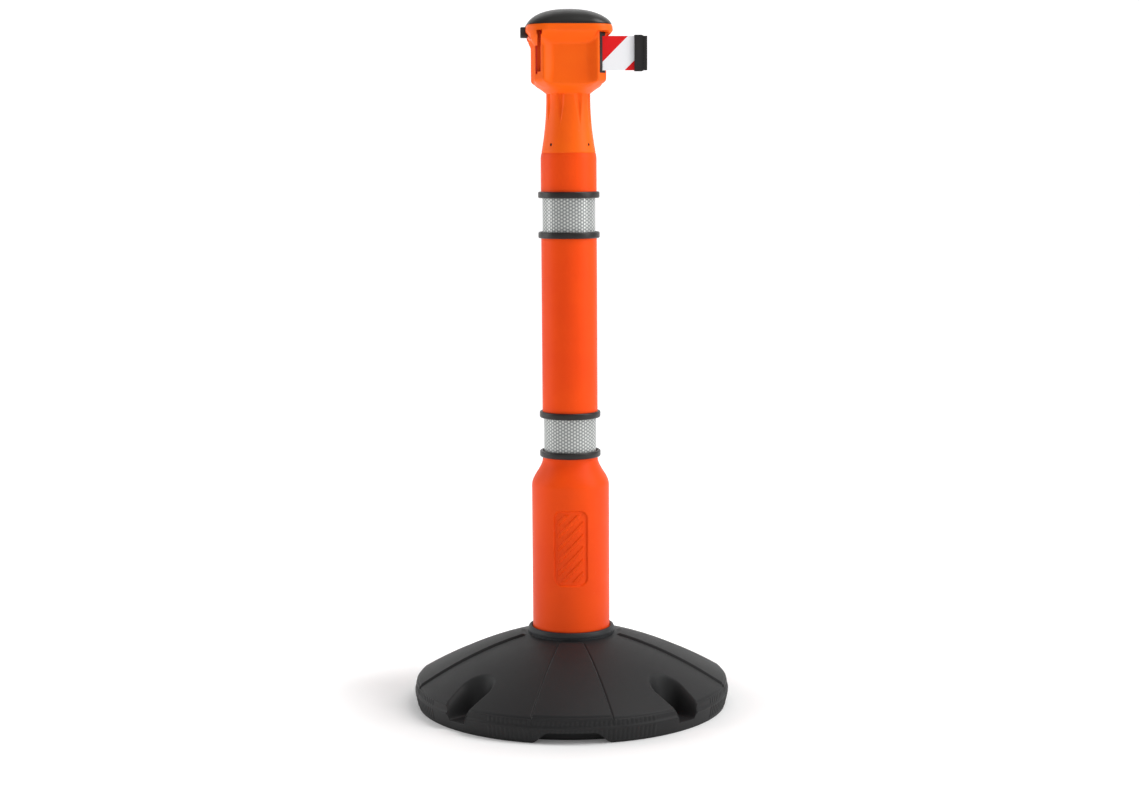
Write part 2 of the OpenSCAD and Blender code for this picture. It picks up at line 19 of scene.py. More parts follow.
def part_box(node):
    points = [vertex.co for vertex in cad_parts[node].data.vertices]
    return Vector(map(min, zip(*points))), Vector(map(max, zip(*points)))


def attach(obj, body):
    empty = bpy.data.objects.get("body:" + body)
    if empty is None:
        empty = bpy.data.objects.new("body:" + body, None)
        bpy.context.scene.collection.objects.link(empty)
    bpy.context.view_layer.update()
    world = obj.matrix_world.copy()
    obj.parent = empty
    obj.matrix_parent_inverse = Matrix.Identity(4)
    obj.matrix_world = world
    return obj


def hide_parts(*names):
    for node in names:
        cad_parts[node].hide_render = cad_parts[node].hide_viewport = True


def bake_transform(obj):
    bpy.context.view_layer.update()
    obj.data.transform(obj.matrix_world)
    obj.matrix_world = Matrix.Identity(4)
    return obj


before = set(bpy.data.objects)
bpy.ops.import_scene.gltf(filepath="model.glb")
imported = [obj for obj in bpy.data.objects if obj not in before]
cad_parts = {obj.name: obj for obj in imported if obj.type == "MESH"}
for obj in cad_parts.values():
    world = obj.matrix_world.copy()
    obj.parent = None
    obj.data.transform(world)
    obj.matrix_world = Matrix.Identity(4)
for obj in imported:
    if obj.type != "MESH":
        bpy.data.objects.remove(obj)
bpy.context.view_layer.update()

LOG = logging.getLogger("barrier_post")
BASE_TURN = math.radians(-4.5)
FACE_STEP = math.pi / 2

Colour = tuple[float, float, float]


# ---------------------------------------------------------------- number helpers


def smooth_step(low: float, high: float, x: np.ndarray) -> np.ndarray:
    """Rise smoothly from 0 at low to 1 at high.

    Args:
        low: Where the rise begins.
        high: Where it ends.
        x: Values to look up.

    Returns:
        The height of the rise at each value.
    """
    t = np.clip((x - low) / (high - low), 0.0, 1.0)
    return t * t * (3.0 - 2.0 * t)


def soft_min(a: np.ndarray, b: np.ndarray, blend: float) -> np.ndarray:
    """Take the smaller of two values with a rounded corner of the given size."""
    h = np.clip(0.5 + 0.5 * (b - a) / blend, 0.0, 1.0)
    return b + (a - b) * h - blend * h * (1.0 - h)


def soft_max(a: np.ndarray, b: np.ndarray, blend: float) -> np.ndarray:
    """Take the larger of two values with a rounded corner of the given size."""
    return -soft_min(-a, -b, blend)


def srgb(red: int, green: int, blue: int) -> Colour:
    """Turn a screen colour of 0 to 255 a channel into linear light."""
    linear = [
        c / 12.92 if c <= 0.04045 else ((c + 0.055) / 1.055) ** 2.4
        for c in (red / 255, green / 255, blue / 255)
    ]
    return linear[0], linear[1], linear[2]


def from_face(theta: np.ndarray) -> np.ndarray:
    """Angle between a direction and the middle of the nearest of the four faces."""
    return (theta + FACE_STEP / 2) % FACE_STEP - FACE_STEP / 2


def rounded_square_radius(theta: np.ndarray, half: np.ndarray, corner: np.ndarray) -> np.ndarray:
    """Distance from the middle to the edge of a square with rounded corners.

    Args:
        theta: Direction of each ray.
        half: Half width between flat sides.
        corner: Radius of the corners.

    Returns:
        The distance along each ray.
    """
    d = np.abs(from_face(theta))
    middle = half - corner
    along = middle * (np.cos(d) + np.sin(d))
    under = np.maximum(corner**2 - (2 * middle**2 - along**2), 0.0)
    flat = half * np.tan(d) <= middle
    return np.where(flat, half / np.cos(d), along + np.sqrt(under))


# ---------------------------------------------------------------- shader expressions


class Signal:
    """A number that varies over a surface, wrapping the socket that carries it."""

    def __init__(self, graph: "Graph", socket: bpy.types.NodeSocket) -> None:
        """Hold the socket and the graph that it belongs to."""
        self.graph = graph
        self.socket = socket

    def _math(self, operation: str, *values: "Signal | float") -> "Signal":
        """Add one Math node that combines the values."""
        return self.graph.math(operation, *values)

    def __add__(self, other: "Signal | float") -> "Signal":
        """Sum of two signals."""
        return self._math("ADD", self, other)

    __radd__ = __add__

    def __sub__(self, other: "Signal | float") -> "Signal":
        """Difference of two signals."""
        return self._math("SUBTRACT", self, other)

    def __rsub__(self, other: float) -> "Signal":
        """Difference, taken from a plain number."""
        return self._math("SUBTRACT", other, self)

    def __mul__(self, other: "Signal | float") -> "Signal":
        """Product of two signals."""
        return self._math("MULTIPLY", self, other)

    __rmul__ = __mul__

    def __truediv__(self, other: "Signal | float") -> "Signal":
        """Quotient of two signals."""
        return self._math("DIVIDE", self, other)

    def __abs__(self) -> "Signal":
        """Size of the signal without its sign."""
        return self._math("ABSOLUTE", self)

    def wrap(self, low: float, high: float) -> "Signal":
        """Repeat the signal between two limits."""
        return self._math("WRAP", self, high, low)

    def at_least(self, other: "Signal | float") -> "Signal":
        """Larger of two signals."""
        return self._math("MAXIMUM", self, other)

    def at_most(self, other: "Signal | float") -> "Signal":
        """Smaller of two signals."""
        return self._math("MINIMUM", self, other)

    def rise(self, low: float, high: float) -> "Signal":
        """Go smoothly from 0 at low to 1 at high."""
        made = self.graph.node(
            "ShaderNodeMapRange",
            {"interpolation_type": "SMOOTHSTEP"},
            {"Value": self, "From Min": low, "From Max": high},
        )
        return Signal(self.graph, made.outputs["Result"])


Wire = Signal | bpy.types.NodeSocket | float | tuple | Vector


class Graph:
    """The node tree of one material, built through a few typed calls."""

    def __init__(self, name: str) -> None:
        """Start an empty material.

        Args:
            name: Name of the material.
        """
        self.material = bpy.data.materials.new(name)
        self.material.use_nodes = True
        self.tree = self.material.node_tree
        self.tree.nodes.clear()
        self.place = self.node("ShaderNodeTexCoord").outputs["Object"]

    def node(
        self,
        kind: str,
        settings: dict[str, object] | None = None,
        inputs: dict[str | int, Wire] | None = None,
    ) -> bpy.types.Node:
        """Add one node.

        Args:
            kind: Blender's type name of the node.
            settings: Properties that are set first.
            inputs: Value or link of each named or numbered socket.

        Returns:
            The node.
        """
        made = self.tree.nodes.new(kind)
        for key, value in (settings or {}).items():
            setattr(made, key, value)
        for key, value in (inputs or {}).items():
            target = made.inputs[key]
            source = value.socket if isinstance(value, Signal) else value
            if isinstance(source, bpy.types.NodeSocket):
                self.tree.links.new(source, target)
            else:
                target.default_value = source
        return made

    def math(self, operation: str, *values: Signal | float) -> Signal:
        """Combine numbers with one Math node."""
        made = self.node("ShaderNodeMath", {"operation": operation}, dict(enumerate(values)))
        return Signal(self, made.outputs[0])

    def axes(self) -> tuple[Signal, Signal, Signal]:
        """Position on the piece along x, y and z, in metres."""
        made = self.node("ShaderNodeSeparateXYZ", inputs={"Vector": self.place})
        return tuple(Signal(self, made.outputs[k]) for k in range(3))

    def stretched(self, x: float, y: float, z: float) -> bpy.types.NodeSocket:
        """Position on the piece with each axis scaled by its own factor."""
        made = self.node(
            "ShaderNodeVectorMath",
            {"operation": "MULTIPLY"},
            {0: self.place, 1: (x, y, z)},
        )
        return made.outputs["Vector"]

    def noise(
        self,
        scale: float,
        detail: float = 3.0,
        rough: float = 0.5,
        vector: bpy.types.NodeSocket | None = None,
    ) -> Signal:
        """Add a cloud texture.

        Args:
            scale: Cells per metre.
            detail: How many finer layers it carries.
            rough: Weight of the finer layers.
            vector: Position to read, or the plain position on the piece.

        Returns:
            The strength of the cloud, about 0.5 on average.
        """
        made = self.node(
            "ShaderNodeTexNoise",
            {"noise_dimensions": "3D"},
            {
                "Vector": vector or self.place,
                "Scale": scale,
                "Detail": detail,
                "Roughness": rough,
            },
        )
        return Signal(self, made.outputs["Fac"])

    def mix(self, share: Signal | float, first: Wire, second: Wire) -> bpy.types.NodeSocket:
        """Blend two colours.

        Args:
            share: 0 for the first colour, 1 for the second.
            first: Colour or colour socket.
            second: Colour or colour socket.

        Returns:
            The blended colour.
        """
        pair = [(*c, 1.0) if isinstance(c, tuple) and len(c) == 3 else c for c in (first, second)]
        made = self.node(
            "ShaderNodeMix",
            {"data_type": "RGBA", "clamp_factor": True},
            {0: share, 6: pair[0], 7: pair[1]},
        )
        return made.outputs[2]

    def bump(
        self,
        height: Signal,
        depth: float,
        normal: bpy.types.NodeSocket | None = None,
    ) -> bpy.types.NodeSocket:
        """Turn a height into a surface normal.

        Args:
            height: Height from 0 to 1.
            depth: Real depth of that height, in metres.
            normal: Normal that this one is laid over.

        Returns:
            The normal.
        """
        inputs: dict[str | int, Wire] = {"Height": height, "Distance": depth, "Strength": 1.0}
        if normal is not None:
            inputs["Normal"] = normal
        return self.node("ShaderNodeBump", inputs=inputs).outputs["Normal"]

    def finish(self, inputs: dict[str | int, Wire]) -> bpy.types.Material:
        """Close the graph with one surface shader.

        Args:
            inputs: Sockets of the surface shader.

        Returns:
            The finished material.
        """
        shader = self.node("ShaderNodeBsdfPrincipled", inputs=inputs)
        self.node("ShaderNodeOutputMaterial", inputs={"Surface": shader.outputs["BSDF"]})
        return self.material


# ---------------------------------------------------------------- finishes


@dataclass(frozen=True)
class MouldedPlastic:
    """Coloured-through plastic from a mould, with a fine grain and light handling marks."""

    name: str
    colour: Colour
    deeper: Colour
    rough: float = 0.42
    grain: float = 900.0
    grain_depth: float = 0.00006
    marks: float = 0.12
    gloss: float = 0.5

    def build(self) -> bpy.types.Material:
        """Make the material."""
        g = Graph(self.name)
        cloud = g.noise(9.0, 4.0, 0.55)
        grain = g.noise(self.grain, 2.0, 0.5)
        flow = g.noise(24.0, 3.0, 0.6, g.stretched(1.0, 1.0, 0.12))
        scuffs = g.noise(110.0, 6.0, 0.75, g.stretched(1.0, 1.0, 0.5)).rise(0.62, 0.78)
        body = g.mix(cloud.rise(0.35, 0.7), self.colour, self.deeper)
        pale = tuple(c + (1.0 - c) * 0.22 for c in self.colour)
        tint = g.mix(scuffs * self.marks, body, pale)
        shine = self.rough + (flow - 0.5) * 0.12 + (grain - 0.5) * 0.10 + scuffs * (0.3 * self.marks)
        skin = g.bump(flow, 0.00025)
        return g.finish(
            {
                "Base Color": tint,
                "Roughness": shine,
                "Normal": g.bump(grain, self.grain_depth, skin),
                "Specular IOR Level": self.gloss,
            }
        )


@dataclass(frozen=True)
class MouldedRubber:
    """Dark filled rubber with a pebbled skin, dust in the grain and paler rubbed patches."""

    name: str
    colour: Colour
    dusty: Colour
    rough: float = 0.5
    grain: float = 620.0
    grain_depth: float = 0.0001
    dust: float = 0.5
    gloss: float = 0.4

    def build(self) -> bpy.types.Material:
        """Make the material."""
        g = Graph(self.name)
        patches = g.noise(11.0, 5.0, 0.6)
        pebbles = g.node(
            "ShaderNodeTexVoronoi",
            {"feature": "SMOOTH_F1"},
            {"Vector": g.place, "Scale": self.grain, "Smoothness": 0.7},
        )
        pebble = Signal(g, pebbles.outputs["Distance"])
        fine = g.noise(self.grain * 1.7, 3.0, 0.6)
        streaks = g.noise(46.0, 4.0, 0.65)
        dust = (patches.rise(0.42, 0.72) * 0.6 + streaks.rise(0.55, 0.8) * 0.4) * self.dust
        tint = g.mix(dust, self.colour, self.dusty)
        shine = self.rough + (patches - 0.5) * 0.16 + (fine - 0.5) * 0.12
        return g.finish(
            {
                "Base Color": tint,
                "Roughness": shine,
                "Normal": g.bump(pebble, self.grain_depth, g.bump(fine, 0.00005)),
                "Specular IOR Level": self.gloss,
            }
        )


@dataclass(frozen=True)
class HoneycombFilm:
    """Reflective film with a printed and embossed honeycomb, wrapped round a tube, with a painted glint
    in the middle of each cell.
    """

    name: str
    radius: float
    cell: Colour
    wall: Colour
    painted_glint: Colour
    pitch: float = 0.0052
    wall_width: float = 0.0007

    def build(self) -> bpy.types.Material:
        """Make the material."""
        g = Graph(self.name)
        x, y, z = g.axes()
        round_way = g.math("ARCTAN2", y, x) * self.radius
        column = self.pitch * math.sqrt(3.0)

        def cell_distance(u: Signal, v: Signal) -> Signal:
            """Distance from the middle of the nearest cell of one lattice, as a hexagon."""
            across = abs(u.wrap(-column / 2, column / 2))
            upward = abs(v.wrap(-self.pitch / 2, self.pitch / 2))
            slanted = across * math.cos(math.pi / 6) + upward * math.sin(math.pi / 6)
            return upward.at_least(slanted)

        near = cell_distance(round_way, z)
        far = cell_distance(round_way + column / 2, z + self.pitch / 2)
        distance = near.at_most(far)
        edge = self.pitch / 2
        wall = distance.rise(edge - self.wall_width, edge - self.wall_width * 0.3)
        # Painted glint: a pale spot in the middle of each cell, of random strength.
        glint_dot = 1.0 - distance.rise(edge * 0.15, edge * 0.5)
        patch = g.noise(35.0, 3.0)
        film = g.mix(glint_dot * (0.5 + patch * 0.5), self.cell, self.painted_glint)
        grime = g.noise(60.0, 5.0, 0.7).rise(0.55, 0.8)
        tint = g.mix(wall, g.mix(grime * 0.25, film, self.wall), self.wall)
        return g.finish(
            {
                "Base Color": tint,
                "Roughness": 0.34 + wall * 0.25 + patch * 0.08,
                "Metallic": (1.0 - wall) * 0.35,
                "Normal": g.bump(1.0 - wall, 0.00018),
                "Coat Weight": 0.35,
                "Coat Roughness": 0.18,
            }
        )


@dataclass(frozen=True)
class BarrierTape:
    """Woven polyester tape with slanting stripes in two colours."""

    name: str
    stripe: Colour
    ground: Colour
    period: float
    first_edge: float
    thread: float = 0.0007

    def build(self) -> bpy.types.Material:
        """Make the material."""
        g = Graph(self.name)
        x, _y, z = g.axes()
        wave = g.noise(160.0, 2.0) * 0.0005
        slant = (x - z - self.first_edge + wave).wrap(0.0, self.period)
        width = self.period / 2
        blur = 0.00035
        pale = slant.rise(0.0, blur) * (1.0 - slant.rise(width - blur, width))
        tint = g.mix(pale, self.stripe, self.ground)
        half = self.thread / 2
        warp = abs(x.wrap(-half, half)) / half
        weft = abs(z.wrap(-half, half)) / half
        weave = warp.at_least(weft)
        fuzz = g.noise(900.0, 3.0, 0.6)
        shaded = g.mix((1.0 - weave) * 0.08 + fuzz * 0.03, tint, srgb(120, 104, 104))
        return g.finish(
            {
                "Base Color": shaded,
                "Roughness": 0.62 + (fuzz - 0.5) * 0.2,
                "Normal": g.bump(weave * 0.7 + fuzz * 0.3, 0.00008),
                "Specular IOR Level": 0.2,
            }
        )


@dataclass(frozen=True)
class WorkedMetal:
    """Turned or rolled metal with fine tool lines and dull patches."""

    name: str
    colour: Colour
    rough: float = 0.3
    lines: tuple[float, float, float] = (40.0, 40.0, 1800.0)

    def build(self) -> bpy.types.Material:
        """Make the material."""
        g = Graph(self.name)
        tool = g.noise(1.0, 3.0, 0.6, g.stretched(*self.lines))
        dull = g.noise(90.0, 4.0, 0.6).rise(0.45, 0.75)
        darker = tuple(c * 0.72 for c in self.colour)
        return g.finish(
            {
                "Base Color": g.mix(dull * 0.6, self.colour, darker),
                "Roughness": self.rough + dull * 0.15 + (tool - 0.5) * 0.12,
                "Metallic": 1.0,
                "Normal": g.bump(tool, 0.00003),
            }
        )


@dataclass(frozen=True)
class StudioPaper:
    """Matt white paper for the floor and the wall behind it, glowing as painted light: weakly on the
    floor near the post, where the lamps' shadow shows, and fully farther out and up the wall.
    """

    name: str
    colour: Colour
    glow: float = 0.45
    # Share of the painted glow that the floor keeps near the post.
    floor_share: float = 0.15

    def build(self) -> bpy.types.Material:
        """Make the material."""
        g = Graph(self.name)
        x, y, height = g.axes()
        away = g.math("SQRT", x * x + y * y)
        # Painted light: the paper's glow is weak near the post, and full from half a metre out and higher
        # up the wall.
        painted_glow_share = away.rise(0.27, 0.50).at_least(height.rise(0.0, 0.6))
        fibre = g.noise(300.0, 2.0)
        grey = tuple(c * 0.97 for c in self.colour)
        return g.finish(
            {
                "Base Color": g.mix(fibre * 0.3, self.colour, grey),
                "Roughness": 0.85,
                "Specular IOR Level": 0.1,
                "Emission Color": g.mix(painted_glow_share, (self.floor_share,) * 3, (1.0, 1.0, 1.0)),
                "Emission Strength": self.glow,
            }
        )


class Finish(Enum):
    """The finishes that the post's pieces share."""

    ORANGE = MouldedPlastic(
        "orange_plastic", srgb(242, 76, 6), srgb(236, 69, 6), 0.46, 850.0, gloss=0.14
    )
    HEAD_ORANGE = MouldedPlastic(
        "head_plastic", srgb(252, 101, 8), srgb(248, 94, 8), 0.46, 900.0, gloss=0.16
    )
    BLACK = MouldedPlastic(
        "black_plastic", srgb(22, 18, 18), srgb(16, 13, 13), 0.36, 1100.0, marks=0.10
    )
    LID = MouldedPlastic(
        "lid_plastic", srgb(32, 31, 29), srgb(25, 24, 23), 0.34, 700.0, 0.00009, marks=0.08, gloss=0.3
    )
    RED = MouldedPlastic("catch_plastic", srgb(250, 34, 40), srgb(240, 28, 36), 0.45, marks=0.1)
    NYLON = MouldedPlastic("natural_nylon", srgb(226, 222, 208), srgb(212, 206, 190), 0.5)
    RUBBER = MouldedRubber("base_rubber", srgb(28, 28, 29), srgb(38, 39, 39), 0.56, gloss=0.3)
    SOCKET = MouldedRubber("socket_plastic", srgb(24, 27, 30), srgb(35, 38, 41), 0.54, 800.0)
    RING = MouldedRubber("ring_rubber", srgb(24, 20, 19), srgb(38, 33, 32), 0.38, 1100.0, dust=0.4)
    STEEL = WorkedMetal("zinc_steel", srgb(196, 198, 200))
    SPRING = WorkedMetal("spring_steel", srgb(150, 152, 158), 0.24)
    DARK_STEEL = WorkedMetal("blackened_steel", srgb(62, 56, 54), 0.45)
    BRONZE = WorkedMetal("bush_bronze", srgb(186, 138, 84), 0.35)


_MADE: dict[str, bpy.types.Material] = {}


def material(finish: object) -> bpy.types.Material:
    """Give the one material of a finish, building it the first time.

    Args:
        finish: A finish, or the Enum member that holds one.

    Returns:
        The Blender material.
    """
    recipe = finish.value if isinstance(finish, Enum) else finish
    if recipe.name not in _MADE:
        _MADE[recipe.name] = recipe.build()
    return _MADE[recipe.name]


# ---------------------------------------------------------------- mesh helpers


def mesh_object(
    name: str,
    points: np.ndarray,
    faces: Sequence[Sequence[int]],
    sharp_angle: float = math.radians(40),
) -> bpy.types.Object:
    """Make a smooth-shaded mesh object with its sharp edges marked.

    Args:
        name: Name of the piece.
        points: Positions, one row a point, in metres.
        faces: Point numbers of each face.
        sharp_angle: Edges that turn more than this stay crisp.

    Returns:
        The new object.
    """
    mesh = bpy.data.meshes.new(name)
    mesh.from_pydata([tuple(p) for p in points], [], [tuple(f) for f in faces])
    bm = bmesh.new()
    bm.from_mesh(mesh)
    bmesh.ops.remove_doubles(bm, verts=bm.verts, dist=2e-6)
    bmesh.ops.dissolve_degenerate(bm, edges=bm.edges, dist=1e-6)
    bmesh.ops.recalc_face_normals(bm, faces=bm.faces)
    bm.to_mesh(mesh)
    bm.free()
    made = bpy.data.objects.new(name, mesh)
    bpy.context.scene.collection.objects.link(made)
    shade(made, sharp_angle)
    return made


def shade(made: bpy.types.Object, sharp_angle: float = math.radians(40)) -> None:
    """Shade a mesh smoothly, keeping the edges that turn more than an angle."""
    made.data.polygons.foreach_set("use_smooth", [True] * len(made.data.polygons))
    made.data.set_sharp_from_angle(angle=sharp_angle)


def lathe(
    name: str,
    theta: np.ndarray,
    radii: np.ndarray,
    heights: np.ndarray,
    closed: bool = False,
    sharp_angle: float = math.radians(40),
) -> bpy.types.Object:
    """Make a solid whose section changes as it goes round the axis.

    Args:
        name: Name of the piece.
        theta: Angle of each column, in order round the circle.
        radii: Distance from the axis, one row a level, one column an angle.
        heights: Height of the same points.
        closed: True if the last row joins the first, as in a ring.
        sharp_angle: Edges that turn more than this stay crisp.

    Returns:
        The new object.
    """
    rows, columns = radii.shape
    heights = np.broadcast_to(heights, radii.shape)
    points = np.stack([radii * np.cos(theta), radii * np.sin(theta), heights], axis=-1)
    index = np.arange(rows * columns).reshape(rows, columns)
    if closed:
        index = np.vstack([index, index[:1]])
    turned = np.roll(index, -1, axis=1)
    quads = np.stack([index[:-1], turned[:-1], turned[1:], index[1:]], axis=-1).reshape(-1, 4)
    faces = [list(q) for q in quads]
    if not closed:
        faces += [list(index[0][::-1]), list(index[-1])]
    return mesh_object(name, points.reshape(-1, 3), faces, sharp_angle)


def spin(
    name: str,
    profile: Sequence[tuple[float, float]],
    columns: int = 160,
    sharp_angle: float = math.radians(40),
) -> bpy.types.Object:
    """Turn a closed outline of (radius, height) points into a ring or disc."""
    theta = np.linspace(0.0, math.tau, columns, endpoint=False)
    outline = np.array(profile)
    radii = np.repeat(outline[:, :1], columns, axis=1)
    heights = np.repeat(outline[:, 1:], columns, axis=1)
    return lathe(name, theta, radii, heights, closed=True, sharp_angle=sharp_angle)


def extrude(
    name: str, outline: Sequence[tuple[float, float]], low: float, high: float
) -> bpy.types.Object:
    """Raise a flat outline in x and y into a prism between two heights."""
    n = len(outline)
    points = np.array([(*p, z) for z in (low, high) for p in outline])
    faces = [list(range(n))[::-1], list(range(n, 2 * n))]
    faces += [[k, (k + 1) % n, n + (k + 1) % n, n + k] for k in range(n)]
    return mesh_object(name, points, faces)


def soften(made: bpy.types.Object, width: float, segments: int = 3) -> bpy.types.Object:
    """Round the crisp edges of a piece with a bevel."""
    bevel = made.modifiers.new("softened_edges", "BEVEL")
    bevel.width = width
    bevel.segments = segments
    bevel.limit_method = "ANGLE"
    bevel.angle_limit = math.radians(35)
    bevel.harden_normals = False
    return made


def box_cutter(name: str, low: Sequence[float], high: Sequence[float]) -> bpy.types.Object:
    """Make a plain block that only serves to cut another piece."""
    outline = [(low[0], low[1]), (high[0], low[1]), (high[0], high[1]), (low[0], high[1])]
    return extrude(name, outline, low[2], high[2])


def rod_cutter(
    name: str, start: Vector, end: Vector, radius: float, sides: int = 32
) -> bpy.types.Object:
    """Make a plain rod between two points that only serves to cut another piece."""
    way = end - start
    turn = way.to_track_quat("Z", "Y").to_matrix()
    outline = [
        (radius * math.cos(math.tau * k / sides), radius * math.sin(math.tau * k / sides))
        for k in range(sides)
    ]
    made = extrude(name, outline, 0.0, way.length)
    made.data.transform(Matrix.Translation(start) @ turn.to_4x4())
    return made


def carve(
    made: bpy.types.Object,
    cutters: Iterable[bpy.types.Object],
    sharp_angle: float = math.radians(32),
) -> None:
    """Cut pieces out of a mesh for good and remove the cutters.

    Args:
        made: The piece to cut.
        cutters: Blocks and rods to take away.
        sharp_angle: Edges that turn more than this stay crisp.
    """
    for cutter in cutters:
        step = made.modifiers.new("cut", "BOOLEAN")
        step.operation = "DIFFERENCE"
        step.solver = "EXACT"
        step.object = cutter
        bpy.context.view_layer.update()
        graph = bpy.context.evaluated_depsgraph_get()
        mesh = bpy.data.meshes.new_from_object(made.evaluated_get(graph))
        made.modifiers.remove(step)
        old = made.data
        made.data = mesh
        bpy.data.meshes.remove(old)
        bpy.data.objects.remove(cutter)
    shade(made, sharp_angle)


def arc(
    middle: tuple[float, float], radii: tuple[float, float], start: float, end: float, steps: int = 6
) -> list[tuple[float, float]]:
    """Give the points of a round or oval arc between two angles, both ends included."""
    angles = [start + (end - start) * k / steps for k in range(steps + 1)]
    return [
        (middle[0] + radii[0] * math.cos(a), middle[1] + radii[1] * math.sin(a)) for a in angles
    ]


def turned(x: float, y: float, angle: float) -> tuple[float, float]:
    """Turn a point about the axis."""
    return (
        x * math.cos(angle) - y * math.sin(angle),
        x * math.sin(angle) + y * math.cos(angle),
    )


def settle(
    made: bpy.types.Object, body: str, finish: object, slot: str, *nodes: str
) -> bpy.types.Object:
    """Dress a piece, fix it to its body and let it stand for its frame nodes.

    Args:
        made: The piece.
        body: Body that it moves with.
        finish: Finish that it wears.
        slot: Material slot of the record that it belongs to; not used.
        nodes: Frame nodes that it replaces.

    Returns:
        The same piece.
    """
    made.data.materials.clear()
    made.data.materials.append(material(finish))
    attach(made, body)
    if nodes:
        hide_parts(*nodes)
    LOG.info("%s on %s: %d faces", made.name, body, len(made.data.polygons))
    return made


def dress(node: str, finish: object, bevel: float = 0.0) -> None:
    """Give a frame node its finish, and soften its edges if a width is given."""
    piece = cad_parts[node]
    piece.data.materials.clear()
    piece.data.materials.append(material(finish))
    if bevel > 0.0:
        soften(piece, bevel, 2)
    LOG.info("%s dressed", node)


# ---------------------------------------------------------------- base


@dataclass
class WeightedBase:
    """The round rubber base with its raised wedges, hand grips, ribbed rim and notches."""

    rim_height: float = 0.035
    cone_height: float = 0.108
    bulge: float = 0.47
    wedge_half: float = math.radians(14.5)
    wedge_rise: float = 0.003
    grip_middle: float = 0.204
    grip_half: float = 0.030
    grip_floor: float = 0.0135
    grip_slope: float = 5.0
    grip_toe: float = 0.0135
    grip_lip: float = 0.024
    grip_fillet: float = 0.010
    groove_depth: float = 0.0010
    groove_width: float = 0.0012
    notch_half: float = 0.060
    notch_round: float = 0.027
    notch_height: float = 0.0165
    notch_depth: float = 0.024
    ledge: float = 0.024
    rib_count: int = 216
    rib_rise: float = 0.0009
    columns_per_rib: int = 5
    socket_radius: float = 0.066
    recess_radius: float = 0.0772
    recess_height: float = 0.0085
    foot_ring: float = 0.158

    def __post_init__(self) -> None:
        """Take the outer radius from the frame."""
        low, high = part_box("base_body")
        self.radius = (high.x - low.x) / 2 - 0.0002
        self.cone_radius = self.radius - 0.0018

    def wedge_lift(self, r: np.ndarray, theta: np.ndarray) -> np.ndarray:
        """Height that the four wedges add at a place on the cone."""
        inside = (self.wedge_half - np.abs(from_face(theta))) * r
        start = smooth_step(self.socket_radius + 0.004, self.socket_radius + 0.012, r)
        groove = self.groove_depth * np.exp(-((inside / self.groove_width) ** 2))
        return (self.wedge_rise * smooth_step(0.0, 0.0030, inside) - groove) * start

    def grip_distance(self, r: np.ndarray, theta: np.ndarray) -> np.ndarray:
        """Distance to the outline of the nearest hand grip, negative inside it."""
        across = from_face(theta - FACE_STEP / 2)
        u = r * np.cos(across)
        v = np.abs(r * np.sin(across))
        end = np.hypot(np.minimum(u - self.grip_middle, 0.0), v)
        return end - self.grip_half

    def top(self, r: np.ndarray, theta: np.ndarray) -> np.ndarray:
        """Height of the upper surface."""
        s = (self.cone_radius - r) / (self.cone_radius - self.socket_radius)
        cone = self.rim_height + (self.cone_height - self.rim_height) * (
            s + self.bulge * s * (1.0 - s)
        )
        cone = cone + self.wedge_lift(r, theta)
        d = self.grip_distance(r, theta)
        wall = self.grip_floor + self.grip_slope * (d + self.grip_toe)
        scooped = soft_min(cone, wall, self.grip_lip)
        return soft_max(scooped, np.full_like(r, self.grip_floor), self.grip_fillet)

    def rim_radius(self, z: np.ndarray) -> np.ndarray:
        """Radius of the rim's wall at a height."""
        upper = self.radius - 0.0022 - 0.0006 * (z - self.ledge) / 0.011
        lower = self.radius - 0.0046 + 0.0043 * z / self.ledge
        bead = 0.0017 * np.exp(-(((z - self.ledge) / 0.0016) ** 2))
        return np.minimum(np.where(z > self.ledge, upper, lower) + bead, self.radius)

    def ribs(self, z: np.ndarray, theta: np.ndarray) -> np.ndarray:
        """How far the rim's ribs stand out at a place."""
        wave = 0.5 + 0.5 * np.cos(self.rib_count * theta)
        ridge = smooth_step(0.25, 0.75, wave)
        zone = 1.0 - smooth_step(math.radians(30.0), math.radians(31.5), np.abs(from_face(theta)))
        lower_row = smooth_step(0.003, 0.005, z) * (1 - smooth_step(0.020, 0.022, z))
        upper_row = smooth_step(0.0255, 0.0270, z) * (1 - smooth_step(0.0325, 0.0345, z))
        return self.rib_rise * ridge * zone * (lower_row + upper_row)

    def notch(self, theta: np.ndarray) -> np.ndarray:
        """Height of the ceiling of the notches under the rim, 0 between them."""
        along = np.abs(np.sin(from_face(theta))) * self.radius
        end = smooth_step(self.notch_half - self.notch_round, self.notch_half, along)
        return self.notch_height * (1.0 - end)

    def directions(self) -> np.ndarray:
        """Angles of the columns: even ones for the ribs, closer ones along the wedges' edges."""
        even = np.linspace(0.0, math.tau, self.rib_count * self.columns_per_rib, endpoint=False)
        near = np.concatenate(
            [
                np.linspace(-0.016, 0.016, 17) + k * FACE_STEP + side * self.wedge_half
                for k in range(4)
                for side in (-1.0, 1.0)
            ]
        )
        return np.unique(np.round(np.concatenate([even, near % math.tau]), 5))

    def build(self) -> None:
        """Make the base and fix it to the frame."""
        theta = self.directions()
        n = len(theta)
        inner_edge = self.socket_radius + 0.00015
        levels_r: list[np.ndarray] = []
        levels_z: list[np.ndarray] = []

        def add(r: np.ndarray | float, z: np.ndarray | float) -> None:
            """Add one level of points."""
            levels_r.append(np.broadcast_to(np.asarray(r, float), (n,)))
            levels_z.append(np.broadcast_to(np.asarray(z, float), (n,)))

